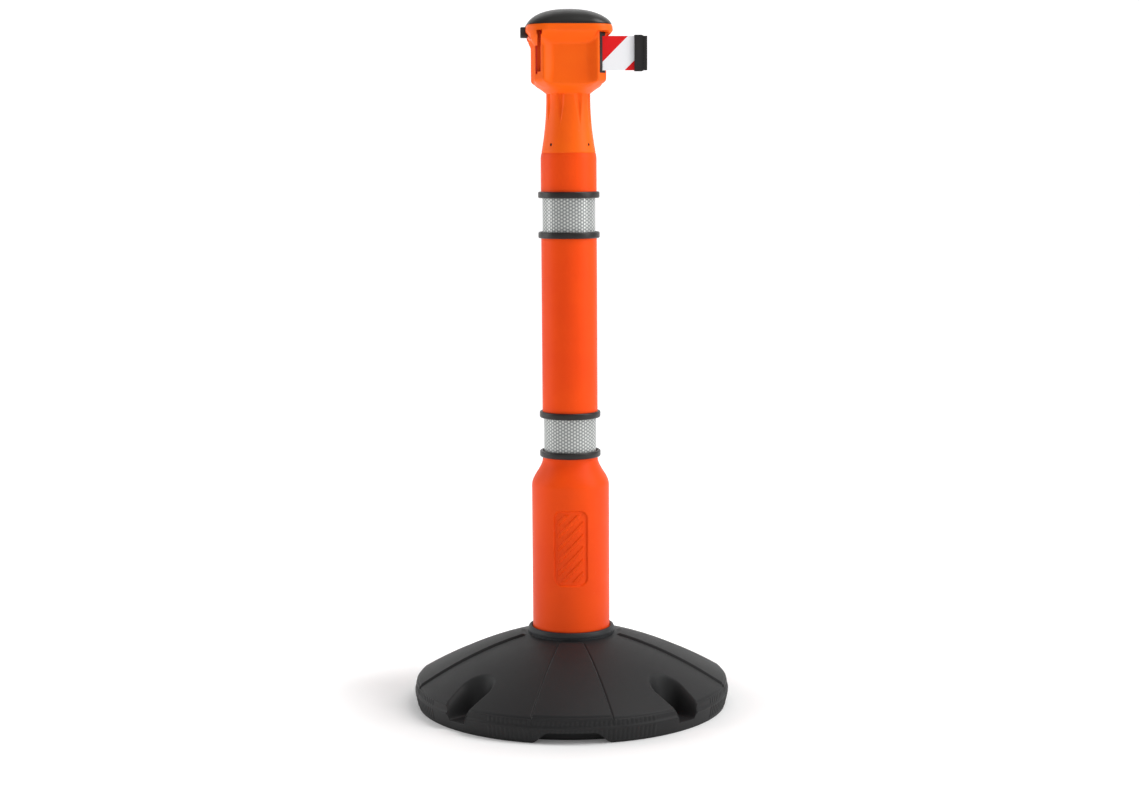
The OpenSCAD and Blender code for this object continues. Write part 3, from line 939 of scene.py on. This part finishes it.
        ceiling = self.notch(theta)
        back = self.radius - self.notch_depth
        add(inner_edge, self.recess_height)
        add(self.recess_radius, self.recess_height)
        add(self.recess_radius + 0.0004, 0.0)
        add(self.foot_ring, 0.0)
        add(back - 0.0005, 0.0)
        add(back, ceiling * 0.98)
        for share in (0.25, 0.6):
            add(back + share * (self.rim_radius(ceiling) - back), ceiling)
        edge = self.top(np.full(n, self.cone_radius), theta)
        for share in np.linspace(0.0, 1.0, 26):
            z = ceiling + (edge - 0.0012 - ceiling) * share
            add(self.rim_radius(z) + self.ribs(z, theta), z)
        for k in (0.35, 0.7, 1.0):
            add(self.rim_radius(edge) - 0.0022 * k, edge - 0.0012 * (1 - k) ** 2)
        start = float(np.min(levels_r[-1])) - 0.001
        for r in np.linspace(start, inner_edge, 118):
            add(r, self.top(np.full(n, r), theta))
        made = lathe(
            "weighted_base",
            theta + BASE_TURN,
            np.array(levels_r),
            np.array(levels_z),
            closed=True,
            sharp_angle=math.radians(50),
        )
        settle(made, "base", Finish.RUBBER, "base_rubber", "base_body")


@dataclass
class PostSocket:
    """The socket ring that stands out of the base round the post's foot."""

    outer: float = 0.066
    lip_bottom: float = 0.1113
    lip_shoulder: float = 0.0015
    crown: float = 0.0026
    inner: float = 0.0594
    floor_bore: float = 0.030

    def build(self) -> None:
        """Make the socket, and dress the plate and screws under it."""
        low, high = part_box("base_socket")
        top = high.z
        widest = (high.x - low.x) / 2
        floor = low.z
        profile = [
            (self.floor_bore, floor),
            (self.outer, floor),
            (self.outer, self.lip_bottom),
            (widest - 0.0004, self.lip_bottom + 0.0002),
            (widest, self.lip_bottom + 0.0010),
            (widest - 0.0004, self.lip_bottom + 0.0040),
        ]
        shoulder = widest - self.lip_shoulder
        middle = (shoulder + self.inner) / 2
        half = (shoulder - self.inner) / 2
        profile += arc((middle, top - self.crown), (half, self.crown), 0.0, math.pi)
        profile += [(self.inner, 0.0160), (self.floor_bore, 0.0158)]
        made = spin("post_socket", profile, 200)
        settle(made, "base", Finish.SOCKET, "black_plastic", "base_socket")
        dress("socket_plate", Finish.STEEL, 0.0004)
        dress("socket_screws", Finish.STEEL, 0.0003)


# ---------------------------------------------------------------- post


@dataclass
class PostTube:
    """The hollow post: a wide lower body with a recessed panel, a shoulder and a slim tube."""

    lower: float = 0.059
    tube: float = 0.042
    band: float = 0.0393
    foot: float = 0.016
    shoulder: float = 0.338
    shoulder_height: float = 0.042
    panel_half: float = 0.0255
    panel_low: float = 0.191
    panel_high: float = 0.306
    panel_corner: float = 0.012
    panel_depth: float = 0.0027
    bar: float = 0.0045
    bar_rise: float = 0.0018
    bore: tuple[float, float] = (0.054, 0.036)
    bore_step: tuple[float, float] = (0.330, 0.375)

    def __post_init__(self) -> None:
        """Take the ends and the ring places from the frame."""
        self.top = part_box("post_body")[1].z
        self.ring_spans = [
            (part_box(n)[0].z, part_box(n)[1].z)
            for n in ("ring_lower_bottom", "ring_lower_top", "ring_upper_bottom", "ring_upper_top")
        ]

    def plain_radius(self, z: np.ndarray) -> np.ndarray:
        """Radius without the panel, at each height."""
        t = np.clip((z - self.shoulder) / self.shoulder_height, 0.0, 1.0)
        r = self.tube + (self.lower - self.tube) * (0.5 + 0.5 * np.cos(math.pi * t))
        for bottom, upper in (self.ring_spans[0:2], self.ring_spans[2:4]):
            inside = (z > (bottom[0] + bottom[1]) / 2) & (z < (upper[0] + upper[1]) / 2)
            r = np.where(inside, self.band, r)
        top_edge = np.clip((z - (self.top - 0.008)) / 0.008, 0.0, 1.0)
        return r - 0.0011 * top_edge**1.5

    def panel(self, theta: np.ndarray, z: np.ndarray) -> np.ndarray:
        """Depth of the recessed panel and of the raised bars in it."""
        front = (theta + math.pi / 2 + math.pi) % math.tau - math.pi
        x = self.lower * np.sin(np.clip(front, -math.pi / 2, math.pi / 2))
        x = np.where(np.abs(front) > math.pi / 2, 1.0, x)
        mid = (self.panel_low + self.panel_high) / 2
        high = (self.panel_high - self.panel_low) / 2
        qx = np.abs(x) - (self.panel_half - self.panel_corner)
        qz = np.abs(z - mid) - (high - self.panel_corner)
        d = np.hypot(np.maximum(qx, 0), np.maximum(qz, 0)) + np.minimum(np.maximum(qx, qz), 0)
        d = d - self.panel_corner
        recess = self.panel_depth * smooth_step(0.0006, -0.0010, d)
        phase = (x - (z - mid)) / (3 * self.bar * math.sqrt(2))
        stripe = np.abs((phase + 0.5) % 1.0 - 0.5) * 3 * self.bar
        field_mask = smooth_step(-0.0052, -0.0064, d)
        bars = self.bar_rise * smooth_step(self.bar / 2 + 0.0004, self.bar / 2 - 0.0005, stripe)
        return recess - bars * field_mask

    def build(self) -> None:
        """Make the post and fix it to the frame."""
        dense = np.radians(np.linspace(-32.0, 32.0, 132)) - math.pi / 2
        rest = np.radians(np.linspace(34.0, 326.0, 98)) - math.pi / 2
        theta = np.concatenate([dense, rest])
        lower = [self.foot, self.foot + 0.001, 0.10, 0.15, 0.186]
        panel = list(np.linspace(0.188, 0.309, 176))
        shoulder = list(np.linspace(0.312, self.shoulder + self.shoulder_height, 24))
        rest_z = [0.384]
        for bottom, upper in (self.ring_spans[0:2], self.ring_spans[2:4]):
            a = (bottom[0] + bottom[1]) / 2
            b = (upper[0] + upper[1]) / 2
            rest_z += [a - 0.0001, a + 0.0001, b - 0.0001, b + 0.0001]
            rest_z.append(b + 0.02)
        rest_z += list(np.linspace(self.top - 0.0085, self.top, 9))
        z = np.array(lower + panel + shoulder + rest_z)
        grid_z, grid_t = np.meshgrid(z, theta, indexing="ij")
        radii = self.plain_radius(grid_z) - self.panel(grid_t, grid_z)
        wide, narrow = self.bore
        bore = np.array([narrow, narrow, wide, wide])
        bore_z = np.array([self.top, self.bore_step[1], self.bore_step[0], self.foot])
        radii = np.vstack([radii, np.repeat(bore[:, None], len(theta), axis=1)])
        heights = np.vstack([grid_z, np.repeat(bore_z[:, None], len(theta), axis=1)])
        made = lathe("post_tube", theta + BASE_TURN, radii, heights, closed=True)
        settle(made, "post", Finish.ORANGE, "orange_plastic", "post_body")


@dataclass
class BandSet:
    """The rubber rings and the reflective bands between them."""

    corner: float = 0.0022
    bore: float = 0.04203
    film: float = 0.00045

    def ring(self, node: str) -> None:
        """Make one rubber ring in place of its frame node."""
        low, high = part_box(node)
        outer = (high.x - low.x) / 2
        inner = self.bore
        c = self.corner
        profile = [(inner, low.z + 0.0004), (inner + 0.0008, low.z)]
        profile += arc((outer - c, low.z + c), (c, c), -math.pi / 2, 0.0)
        profile += arc((outer - c, high.z - c), (c, c), 0.0, math.pi / 2)
        profile += [(inner + 0.0008, high.z), (inner, high.z - 0.0004)]
        made = spin(f"rubber_{node}", profile, 180)
        settle(made, "post", Finish.RING, "ring_rubber", node)

    def band(self, node: str) -> None:
        """Make one reflective band in place of its frame node."""
        low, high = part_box(node)
        outer = (high.x - low.x) / 2
        inner = outer - self.film
        profile = [(inner, low.z), (outer, low.z), (outer, high.z), (inner, high.z)]
        made = spin(f"film_{node}", profile, 240)
        # The last colour is the painted glint in the middle of each cell.
        finish = HoneycombFilm(
            "honeycomb_film", outer, srgb(172, 175, 173), srgb(112, 115, 116), srgb(246, 247, 243)
        )
        settle(made, "post", finish, "reflective", node)

    def build(self) -> None:
        """Make every ring and band."""
        for node in (
            "ring_lower_bottom",
            "ring_lower_top",
            "ring_upper_bottom",
            "ring_upper_top",
        ):
            self.ring(node)
        for node in ("reflective_band_lower", "reflective_band_upper"):
            self.band(node)


# ---------------------------------------------------------------- head


@dataclass
class HeadShell:
    """The neck and the four-way head, with recessed faces, corner slots and a flared rim."""

    half: float = 0.054
    cut: float = 0.014
    panel_half: float = 0.0262
    panel_slope: float = 0.60
    panel_low: float = 0.955
    panel_high: float = 1.0012
    panel_depth: float = 0.008
    flare: float = 0.998
    bowl: float = 0.929
    seam_half: float = 0.0622
    seam_round: float = 0.031
    cavity_half: float = 0.0435
    cavity_floor: float = 0.957
    slot_off: float = 0.0465
    slot_low: float = 0.960
    slot_high: float = 1.020
    relief_top: float = 1.0185
    screw_height: float = 0.8536
    flute_depth: float = 0.0030
    flute_start: float = 0.878
    neck_radius: float = 0.0329
    neck_spread: float = 0.008
    body_top: float = 1.0205

    def __post_init__(self) -> None:
        """Take the lower and upper ends from the frame."""
        low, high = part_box("head_shell")
        self.bottom = low.z
        self.seam = high.z

    def neck(self, z: np.ndarray) -> np.ndarray:
        """Radius of the neck at a height."""
        t = np.clip((z - self.bottom) / (self.bowl - self.bottom), 0.0, 1.0)
        r = self.neck_radius + self.neck_spread * (1.0 - t) ** 2.1
        return r - 0.0009 * (1.0 - smooth_step(0.0, 0.0012, z - self.bottom))

    def flutes(self, theta: np.ndarray, z: np.ndarray) -> np.ndarray:
        """Depth of the eight tapering flutes round the neck."""
        share = np.clip((z - self.flute_start) / (self.bowl - self.flute_start), 0.0, 1.2)
        arc = np.abs(from_face(theta)) * self.neck(z)
        middle = 0.0134 + 0.04 * (self.bowl - z)
        width = 0.0078 * share + 0.0004
        across = 1.0 - smooth_step(0.0, 1.0, np.abs(arc - middle) / width)
        return self.flute_depth * across * smooth_step(0.0, 0.7, share)

    def bowl_limit(self, theta: np.ndarray, z: np.ndarray) -> np.ndarray:
        """Largest radius that the underside allows, round at the neck and square above."""
        heights = [0.929, 0.9347, 0.9385, 0.942, 0.9465, 0.9495, 0.953, 0.957, 0.966]
        radii = [0.0330, 0.0405, 0.0465, 0.0506, 0.0543, 0.0560, 0.0600, 0.0700, 0.100]
        square = self.prism(theta) / self.half
        share = smooth_step(0.932, 0.950, z)
        return np.interp(z, heights, radii) * (1.0 - share + share * square)

    def prism(self, theta: np.ndarray) -> np.ndarray:
        """Radius of the square body with chamfered corners."""
        d = from_face(theta)
        flat = self.half / np.cos(d)
        corner = (2 * self.half - self.cut) / math.sqrt(2) / np.cos(np.abs(d) - FACE_STEP / 2)
        return soft_min(flat, corner, 0.0022)

    def flange(self, theta: np.ndarray, z: np.ndarray) -> np.ndarray:
        """Radius of the flared rim under the lid."""
        rise = z - self.flare
        half = np.interp(
            rise,
            [0.0, 0.0115, 0.014, 0.021, 0.028, 0.031],
            [self.half - 0.0010, 0.0622, 0.0631, 0.0640, 0.0634, self.seam_half],
        )
        corner = np.interp(rise, [0.0, 0.012, 0.021], [0.015, 0.029, self.seam_round])
        r = rounded_square_radius(theta, half, corner)
        turned_theta = (theta + math.pi) % math.tau - math.pi
        beside = smooth_step(math.radians(-58.5), math.radians(-57.0), turned_theta) * (
            1.0 - smooth_step(math.radians(-35.0), math.radians(-33.5), turned_theta)
        )
        over_clip = smooth_step(math.radians(-45.0), math.radians(-43.5), turned_theta)
        level = self.relief_top - 0.0040 * over_clip
        below = 1.0 - smooth_step(level - 0.0006, level + 0.0006, z)
        return np.where(rise < 0.0, 0.0, r * (1.0 - beside * below))

    def recessed(self, theta: np.ndarray, z: np.ndarray) -> np.ndarray:
        """Radius of the sunken face panels with their sloping sides."""
        d = np.abs(from_face(theta))
        face = self.half - self.panel_depth
        side = (face - self.panel_slope * self.panel_half) / (1.0 - self.panel_slope * np.tan(d))
        depth = soft_max(np.full_like(z, face), side, 0.0030)
        depth = soft_max(depth, face + 0.30 * (self.panel_low - z), 0.0060)
        depth = soft_max(depth, face + (z - self.panel_high), 0.0020)
        return depth / np.cos(d)

    def outer(self, theta: np.ndarray, z: np.ndarray) -> np.ndarray:
        """Radius of the whole outside at each angle and height."""
        body = soft_min(self.prism(theta), self.bowl_limit(theta, z), 0.0042)
        body = np.where(z < self.body_top, body, 0.0)
        whole = soft_max(body, self.flange(theta, z), 0.0016)
        whole = soft_min(whole, self.recessed(theta, z), 0.0034)
        neck = self.neck(z) - self.flutes(theta, z)
        return np.where(z <= self.bowl, neck, np.maximum(whole, 0.0325))

    def corner_cutters(self, angle: float) -> list[bpy.types.Object]:
        """Blocks that open one receiver corner: its slot, its widened top and its space."""
        blocks = [
            ("slot", -0.0490, -0.0440, -0.075, -0.040, self.slot_low, self.slot_high),
            ("key", -0.0505, -0.0425, -0.075, -0.040, self.slot_high - 0.006, self.slot_high),
            ("space", -0.0512, -0.0400, -0.0452, -0.0350, 0.9565, 1.0215),
        ]
        made = []
        for name, x0, x1, y0, y1, z0, z1 in blocks:
            cutter = box_cutter(name, (x0, y0, z0), (x1, y1, z1))
            cutter.data.transform(Matrix.Rotation(angle, 4, "Z"))
            made.append(cutter)
        return made

    def build(self) -> None:
        """Make the head and fix it to the frame."""
        theta = np.linspace(0.0, math.tau, 512, endpoint=False)
        neck_z = np.concatenate(
            [
                self.bottom + np.array([0.0, 0.0006, 0.0014, 0.004]),
                np.linspace(self.bottom + 0.007, 0.9285, 46),
            ]
        )
        head_z = np.linspace(0.9293, self.seam - 0.0006, 132)
        z = np.concatenate([neck_z, head_z])
        grid_z, grid_t = np.meshgrid(z, theta, indexing="ij")
        radii = self.outer(grid_t, grid_z)
        rim = rounded_square_radius(theta, self.seam_half - 0.0007, self.seam_round)
        inner = rounded_square_radius(theta, self.cavity_half, 0.002)
        extra_r = [rim, inner + 0.0006, inner, inner, inner * 0.97, inner * 0.3]
        extra_z = [
            self.seam,
            self.seam,
            self.seam - 0.0006,
            self.cavity_floor + 0.0008,
            self.cavity_floor,
            self.cavity_floor,
        ]
        radii = np.vstack([radii, np.array(extra_r)])
        heights = np.vstack([grid_z, np.repeat(np.array(extra_z)[:, None], len(theta), axis=1)])
        made = lathe("head_and_neck", theta, radii, heights)
        cutters = []
        for angle in (0.0, -FACE_STEP, 2 * FACE_STEP):
            cutters += self.corner_cutters(angle)
        low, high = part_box("exit_bezel")
        seat = box_cutter("seat", (0.0598, -0.0061, low.z), (0.0760, 0.0061, high.z))
        seat.data.transform(Matrix.Rotation(-FACE_STEP / 2, 4, "Z"))
        way_in = box_cutter("way_in", (0.034, -0.0490, 0.9600), (0.049, -0.0380, 1.0135))
        low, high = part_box("brake_button")
        guide = box_cutter(
            "guide", (-0.075, low.y - 0.0003, low.z - 0.0003), (-0.0525, high.y + 0.0003, high.z + 0.0003)
        )
        low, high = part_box("brake_plunger")
        line = (low + high) / 2
        hole = rod_cutter(
            "hole", Vector((-0.054, line.y, line.z)), Vector((-0.040, line.y, line.z)), 0.0028
        )
        cutters += [seat, way_in, guide, hole]
        for angle in (43.0, 137.0, 223.0, 317.0):
            x, y = turned(1.0, 0.0, math.radians(angle))
            start = Vector((x * 0.0362, y * 0.0362, self.screw_height))
            end = Vector((x * 0.050, y * 0.050, self.screw_height))
            cutters.append(rod_cutter("screw_hole", start, end, 0.0023, 24))
        carve(made, cutters)
        settle(made, "post", Finish.HEAD_ORANGE, "orange_plastic", "head_shell")
        for node in ("receiver_front_left", "receiver_back_left", "receiver_back_right"):
            dress(node, Finish.RED, 0.0003)
        dress("exit_bezel", Finish.BLACK, 0.0007)
        dress("neck_plug", Finish.BLACK)
        dress("neck_screws", Finish.DARK_STEEL, 0.0002)


@dataclass
class DomedLid:
    """The black lid: a low dome on a rounded square, with a spigot that drops into the head."""

    corner: float = 0.031
    fullness: float = 2.4
    crown: float = 0.65
    skin: float = 0.0025
    spigot: float = 0.0432

    def __post_init__(self) -> None:
        """Take the heights and the width from the frame."""
        low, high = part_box("lid")
        self.low = low.z
        self.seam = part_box("head_shell")[1].z + 0.0003
        self.top = high.z - 0.00005
        self.half = (high.x - low.x) / 2 - 0.0001

    def dome(
        self, theta: np.ndarray, share: float, half: float, height: float
    ) -> tuple[np.ndarray, np.ndarray]:
        """Radius and height of one level of a dome.

        Args:
            theta: Direction of each column.
            share: 0 at the middle and 1 at the rim.
            half: Half width of the dome's outline.
            height: Height of the dome over the seam.

        Returns:
            The radii and the heights.
        """
        corner = self.corner * half / self.half
        r = rounded_square_radius(theta, half, corner)
        middle = 1.0 - share**1.6
        r = r * (1 - middle) + half * 1.04 * middle
        z = self.seam + height * (1.0 - share**self.fullness) ** self.crown
        return r * share, np.full_like(theta, z)

    def build(self) -> None:
        """Make the lid and fix it to the frame."""
        theta = np.linspace(0.0, math.tau, 256, endpoint=False)
        rise = self.top - self.seam
        levels = []
        shares = 1.0 - (1.0 - np.linspace(0.015, 1.0, 44)) ** 1.7
        for share in shares:
            levels.append(self.dome(theta, float(share), self.half, rise))
        rim = rounded_square_radius(theta, self.half - 0.0004, self.corner)
        flat = np.full_like(theta, self.seam)
        levels[-1] = (levels[-1][0], flat + 0.0008)
        levels.append((rim, flat))
        for half, z in (
            (self.spigot, self.seam),
            (self.spigot, self.low + 0.0005),
            (self.spigot - 0.0004, self.low),
            (self.spigot - 0.0020, self.low),
            (self.spigot - 0.0020, self.seam + 0.002),
        ):
            levels.append((rounded_square_radius(theta, half, 0.002), np.full_like(theta, z)))
        for share in (0.9, 0.7, 0.45, 0.2, 0.03):
            r, z = self.dome(theta, share, self.spigot - 0.002, rise - self.skin)
            levels.append((r, z))
        made = lathe(
            "domed_lid", theta, np.array([a for a, _ in levels]), np.array([b for _, b in levels])
        )
        settle(made, "lid", Finish.LID, "black_plastic", "lid")


# ---------------------------------------------------------------- tape, clip and brake


@dataclass
class TapeEnd:
    """The stretch of tape outside the head and the moulded clip on its end."""

    columns: int = 60
    rows: int = 24
    web: float = 0.0018
    plate: float = 0.0012
    flange: float = 0.0045
    web_length: float = 0.0036

    def strip(self) -> None:
        """Make the visible tape, which runs from the exit to the clip."""
        low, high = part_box("tape_strip")
        middle = (low.y + high.y) / 2
        half = (high.y - low.y) / 2
        xs = np.linspace(low.x, high.x, self.columns)
        zs = np.linspace(low.z, high.z, self.rows)
        points = []
        for side in (-1.0, 1.0):
            for z in zs:
                hem = 1.0 - 0.35 * math.exp(-min(z - low.z, high.z - z) / 0.0008)
                points += [(x, middle + side * half * hem, z) for x in xs]
        n, m = self.columns, self.rows
        index = np.arange(2 * n * m).reshape(2, m, n)
        faces = []
        for j in range(m - 1):
            for i in range(n - 1):
                a, b = index[0], index[1]
                faces.append([a[j, i], a[j, i + 1], a[j + 1, i + 1], a[j + 1, i]])
                faces.append([b[j, i], b[j + 1, i], b[j + 1, i + 1], b[j, i + 1]])
        for j in range(m - 1):
            for i in (0, n - 1):
                a, b = index[0], index[1]
                faces.append([a[j, i], a[j + 1, i], b[j + 1, i], b[j, i]])
        for i in range(n - 1):
            for j in (0, m - 1):
                a, b = index[0], index[1]
                faces.append([a[j, i], b[j, i], b[j, i + 1], a[j, i + 1]])
        made = mesh_object("barrier_tape", np.array(points), faces)
        made.data.materials.append(material(TAPE))
        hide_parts("tape_strip")
        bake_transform(made)
        LOG.info("barrier_tape: %d faces", len(made.data.polygons))

    def clip(self) -> None:
        """Make the clip's shell with its end flange, and dress the cover and rivets."""
        low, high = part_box("tape_clip")
        middle = (low.y + high.y) / 2
        half = (high.y - low.y) / 2
        web = self.web
        web_end = high.x - self.flange
        body_end = web_end - self.web_length
        outline = [
            (low.x, middle - self.plate),
            (body_end, middle - self.plate),
            (body_end, middle - web),
            (web_end, middle - web),
            (web_end, middle - half),
            (high.x, middle - half),
            (high.x, middle + half),
            (web_end, middle + half),
            (web_end, middle + web),
            (body_end, middle + web),
            (body_end, middle + half),
            (low.x, middle + half),
        ]
        made = extrude("clip_shell", outline, low.z, high.z)
        for v in made.data.vertices:
            if v.co.x > web_end - 1e-5:
                v.co.z += 0.0015 if v.co.z < (low.z + high.z) / 2 else -0.0015
        soften(made, 0.0011, 4)
        settle(made, "tape_end", Finish.BLACK, "black_plastic", "tape_clip")
        dress("clip_cover", Finish.BLACK, 0.0011)
        dress("clip_rivets", Finish.BLACK, 0.0002)

    def build(self) -> None:
        """Make the clip and the tape."""
        self.clip()
        self.strip()


@dataclass
class BrakeButton:
    """The push button on the head's side, with its plunger, spring and brake shoe."""

    corner: float = 0.0045

    def cap(self) -> None:
        """Make the button's cap with rounded lower corners."""
        low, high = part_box("brake_button")
        c = self.corner
        outline: list[tuple[float, float]] = [(low.y, high.z), (low.y, low.z + c)]
        outline += arc((low.y + c, low.z + c), (c, c), math.pi, 1.5 * math.pi)[1:]
        outline += arc((high.y - c, low.z + c), (c, c), 1.5 * math.pi, math.tau)
        outline.append((high.y, high.z))
        made = extrude("button_cap", outline, 0.0, high.x - low.x)
        turn = Matrix(((0, 0, 1, low.x), (1, 0, 0, 0), (0, 1, 0, 0), (0, 0, 0, 1)))
        made.data.transform(turn)
        made.data.update()
        soften(made, 0.0012, 3)
        plunger_low, plunger_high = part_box("brake_plunger")
        line = (plunger_low + plunger_high) / 2
        inner_end = Vector((low.x + 0.0062, line.y, line.z))
        outer_end = Vector((high.x + 0.002, line.y, line.z))
        well = rod_cutter("well", inner_end, outer_end, 0.0046)
        carve(made, [well])
        settle(made, "brake", Finish.BLACK, "black_plastic", "brake_button")

    def spring(self) -> None:
        """Make the coil spring round the plunger, at its rest length."""
        low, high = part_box("brake_spring")
        line = (low + high) / 2
        wire = 0.0004
        radius = (high.y - low.y) / 2 - wire
        turns, steps, sides = 5.5, 26, 10
        n = int(turns * steps)
        points = []
        for k in range(n + 1):
            a = math.tau * k / steps
            x = low.x + wire + (high.x - low.x - 2 * wire) * k / n
            centre = Vector((x, line.y + radius * math.cos(a), line.z + radius * math.sin(a)))
            outward = Vector((0.0, math.cos(a), math.sin(a)))
            for s in range(sides):
                b = math.tau * s / sides
                points.append(centre + wire * (math.cos(b) * outward + math.sin(b) * Vector((1, 0, 0))))
        faces = [list(range(sides))[::-1], list(range(n * sides, (n + 1) * sides))]
        for k in range(n):
            for s in range(sides):
                t = (s + 1) % sides
                faces.append([k * sides + s, k * sides + t, (k + 1) * sides + t, (k + 1) * sides + s])
        made = mesh_object("button_spring", np.array([tuple(p) for p in points]), faces)
        made.data.materials.append(material(Finish.SPRING))
        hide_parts("brake_spring")
        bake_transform(made)

    def build(self) -> None:
        """Make the cap and spring and dress the rest."""
        self.cap()
        self.spring()
        dress("brake_plunger", Finish.STEEL, 0.0003)
        dress("brake_shoe", Finish.RED, 0.0004)
        dress("plunger_circlip", Finish.SPRING)


@dataclass
class Cassette:
    """The drum cassette inside the head."""

    def build(self) -> None:
        """Dress every piece of the cassette."""
        for node, finish in (
            ("cassette_base", Finish.NYLON),
            ("cassette_cover", Finish.NYLON),
            ("cassette_screws", Finish.STEEL),
            ("spindle", Finish.STEEL),
            ("mainspring", Finish.SPRING),
            ("roller_pin", Finish.STEEL),
            ("exit_roller", Finish.NYLON),
            ("drum", Finish.NYLON),
            ("drum_bushes", Finish.BRONZE),
            ("tape_coil", TAPE),
            ("tape_lead", TAPE),
        ):
            dress(node, finish)


TAPE = BarrierTape("woven_tape", srgb(228, 6, 14), srgb(247, 248, 251), 0.0905, -0.9265)


# ---------------------------------------------------------------- studio


@dataclass
class Studio:
    """White paper floor and sweep, soft boxes and the camera."""

    camera_distance: float = 2.982
    camera_height: float = 0.834
    pitch: float = math.radians(7.0)
    roll: float = math.radians(0.34)
    lens: float = 62.27
    sensor: float = 36.0
    sweep_radius: float = 1.6
    room_light: float = 0.34
    lamps: list[tuple[str, tuple, tuple, float, float, float]] = field(
        default_factory=lambda: [
            ("key_right", (2.3, -0.9, 1.7), (0.0, 0.0, 0.5), 1.1, 2.2, 38.0),
            ("edge_left", (-2.3, 0.4, 1.3), (0.0, 0.0, 0.6), 0.8, 2.2, 19.0),
            ("overhead", (1.1, -0.2, 2.8), (0.0, 0.0, 0.3), 1.2, 1.2, 26.0),
            ("front_fill", (-0.4, -3.4, 1.9), (0.0, 0.0, 0.5), 2.0, 1.6, 7.0),
        ]
    )

    def camera(self) -> None:
        """Place the camera in front of the post's lower panel."""
        data = bpy.data.cameras.new("camera")
        data.lens = self.lens
        data.sensor_width = self.sensor
        made = bpy.data.objects.new("camera", data)
        bpy.context.scene.collection.objects.link(made)
        x, y = turned(0.0, -self.camera_distance, BASE_TURN)
        look = (
            Matrix.Rotation(BASE_TURN, 4, "Z")
            @ Matrix.Rotation(math.pi / 2 - self.pitch, 4, "X")
            @ Matrix.Rotation(-self.roll, 4, "Z")
        )
        made.matrix_world = Matrix.Translation((x, y, self.camera_height)) @ look
        bpy.context.scene.camera = made

    def sweep(self) -> None:
        """Lay the floor and bend it up into the wall behind the post."""
        wide, near, far, high = 9.0, -7.0, 3.2, 7.0
        line = [(near, 0.0), (far, 0.0)]
        for k in range(1, 25):
            a = math.pi / 2 * k / 24
            line.append(
                (far + self.sweep_radius * math.sin(a), self.sweep_radius * (1 - math.cos(a)))
            )
        line.append((far + self.sweep_radius, high))
        points = [(x, y, z - 0.0002) for y, z in line for x in (-wide, wide)]
        faces = [[2 * k, 2 * k + 1, 2 * k + 3, 2 * k + 2] for k in range(len(line) - 1)]
        mesh = bpy.data.meshes.new("paper_sweep")
        mesh.from_pydata(points, [], faces)
        mesh.polygons.foreach_set("use_smooth", [True] * len(mesh.polygons))
        made = bpy.data.objects.new("paper_sweep", mesh)
        bpy.context.scene.collection.objects.link(made)
        made.data.materials.append(material(StudioPaper("white_paper", (0.93, 0.93, 0.93))))

    def light(self) -> None:
        """Hang the soft boxes and set the light of the room."""
        for name, place, target, width, height, power in self.lamps:
            data = bpy.data.lights.new(name, "AREA")
            data.shape = "RECTANGLE"
            data.size = width
            data.size_y = height
            data.energy = power
            made = bpy.data.objects.new(name, data)
            bpy.context.scene.collection.objects.link(made)
            way = Vector(target) - Vector(place)
            made.matrix_world = (
                Matrix.Translation(place) @ way.to_track_quat("-Z", "Y").to_matrix().to_4x4()
            )
        world = bpy.data.worlds.new("room")
        world.use_nodes = True
        background = world.node_tree.nodes["Background"]
        background.inputs["Color"].default_value = (1.0, 1.0, 1.0, 1.0)
        background.inputs["Strength"].default_value = self.room_light
        bpy.context.scene.world = world

    def build(self) -> None:
        """Set up the floor, the lights, the camera and the colour treatment."""
        self.camera()
        self.sweep()
        self.light()
        bpy.context.scene.view_settings.view_transform = "Standard"


def main() -> None:
    """Build every sub-assembly in order."""
    logging.basicConfig(level=logging.INFO, format="%(name)s: %(message)s")
    Studio().build()
    for part in (
        WeightedBase(),
        PostSocket(),
        PostTube(),
        BandSet(),
        HeadShell(),
        DomedLid(),
        Cassette(),
        TapeEnd(),
        BrakeButton(),
    ):
        part.build()
        LOG.info("%s done", type(part).__name__)


if __name__ == "__main__":
    main()
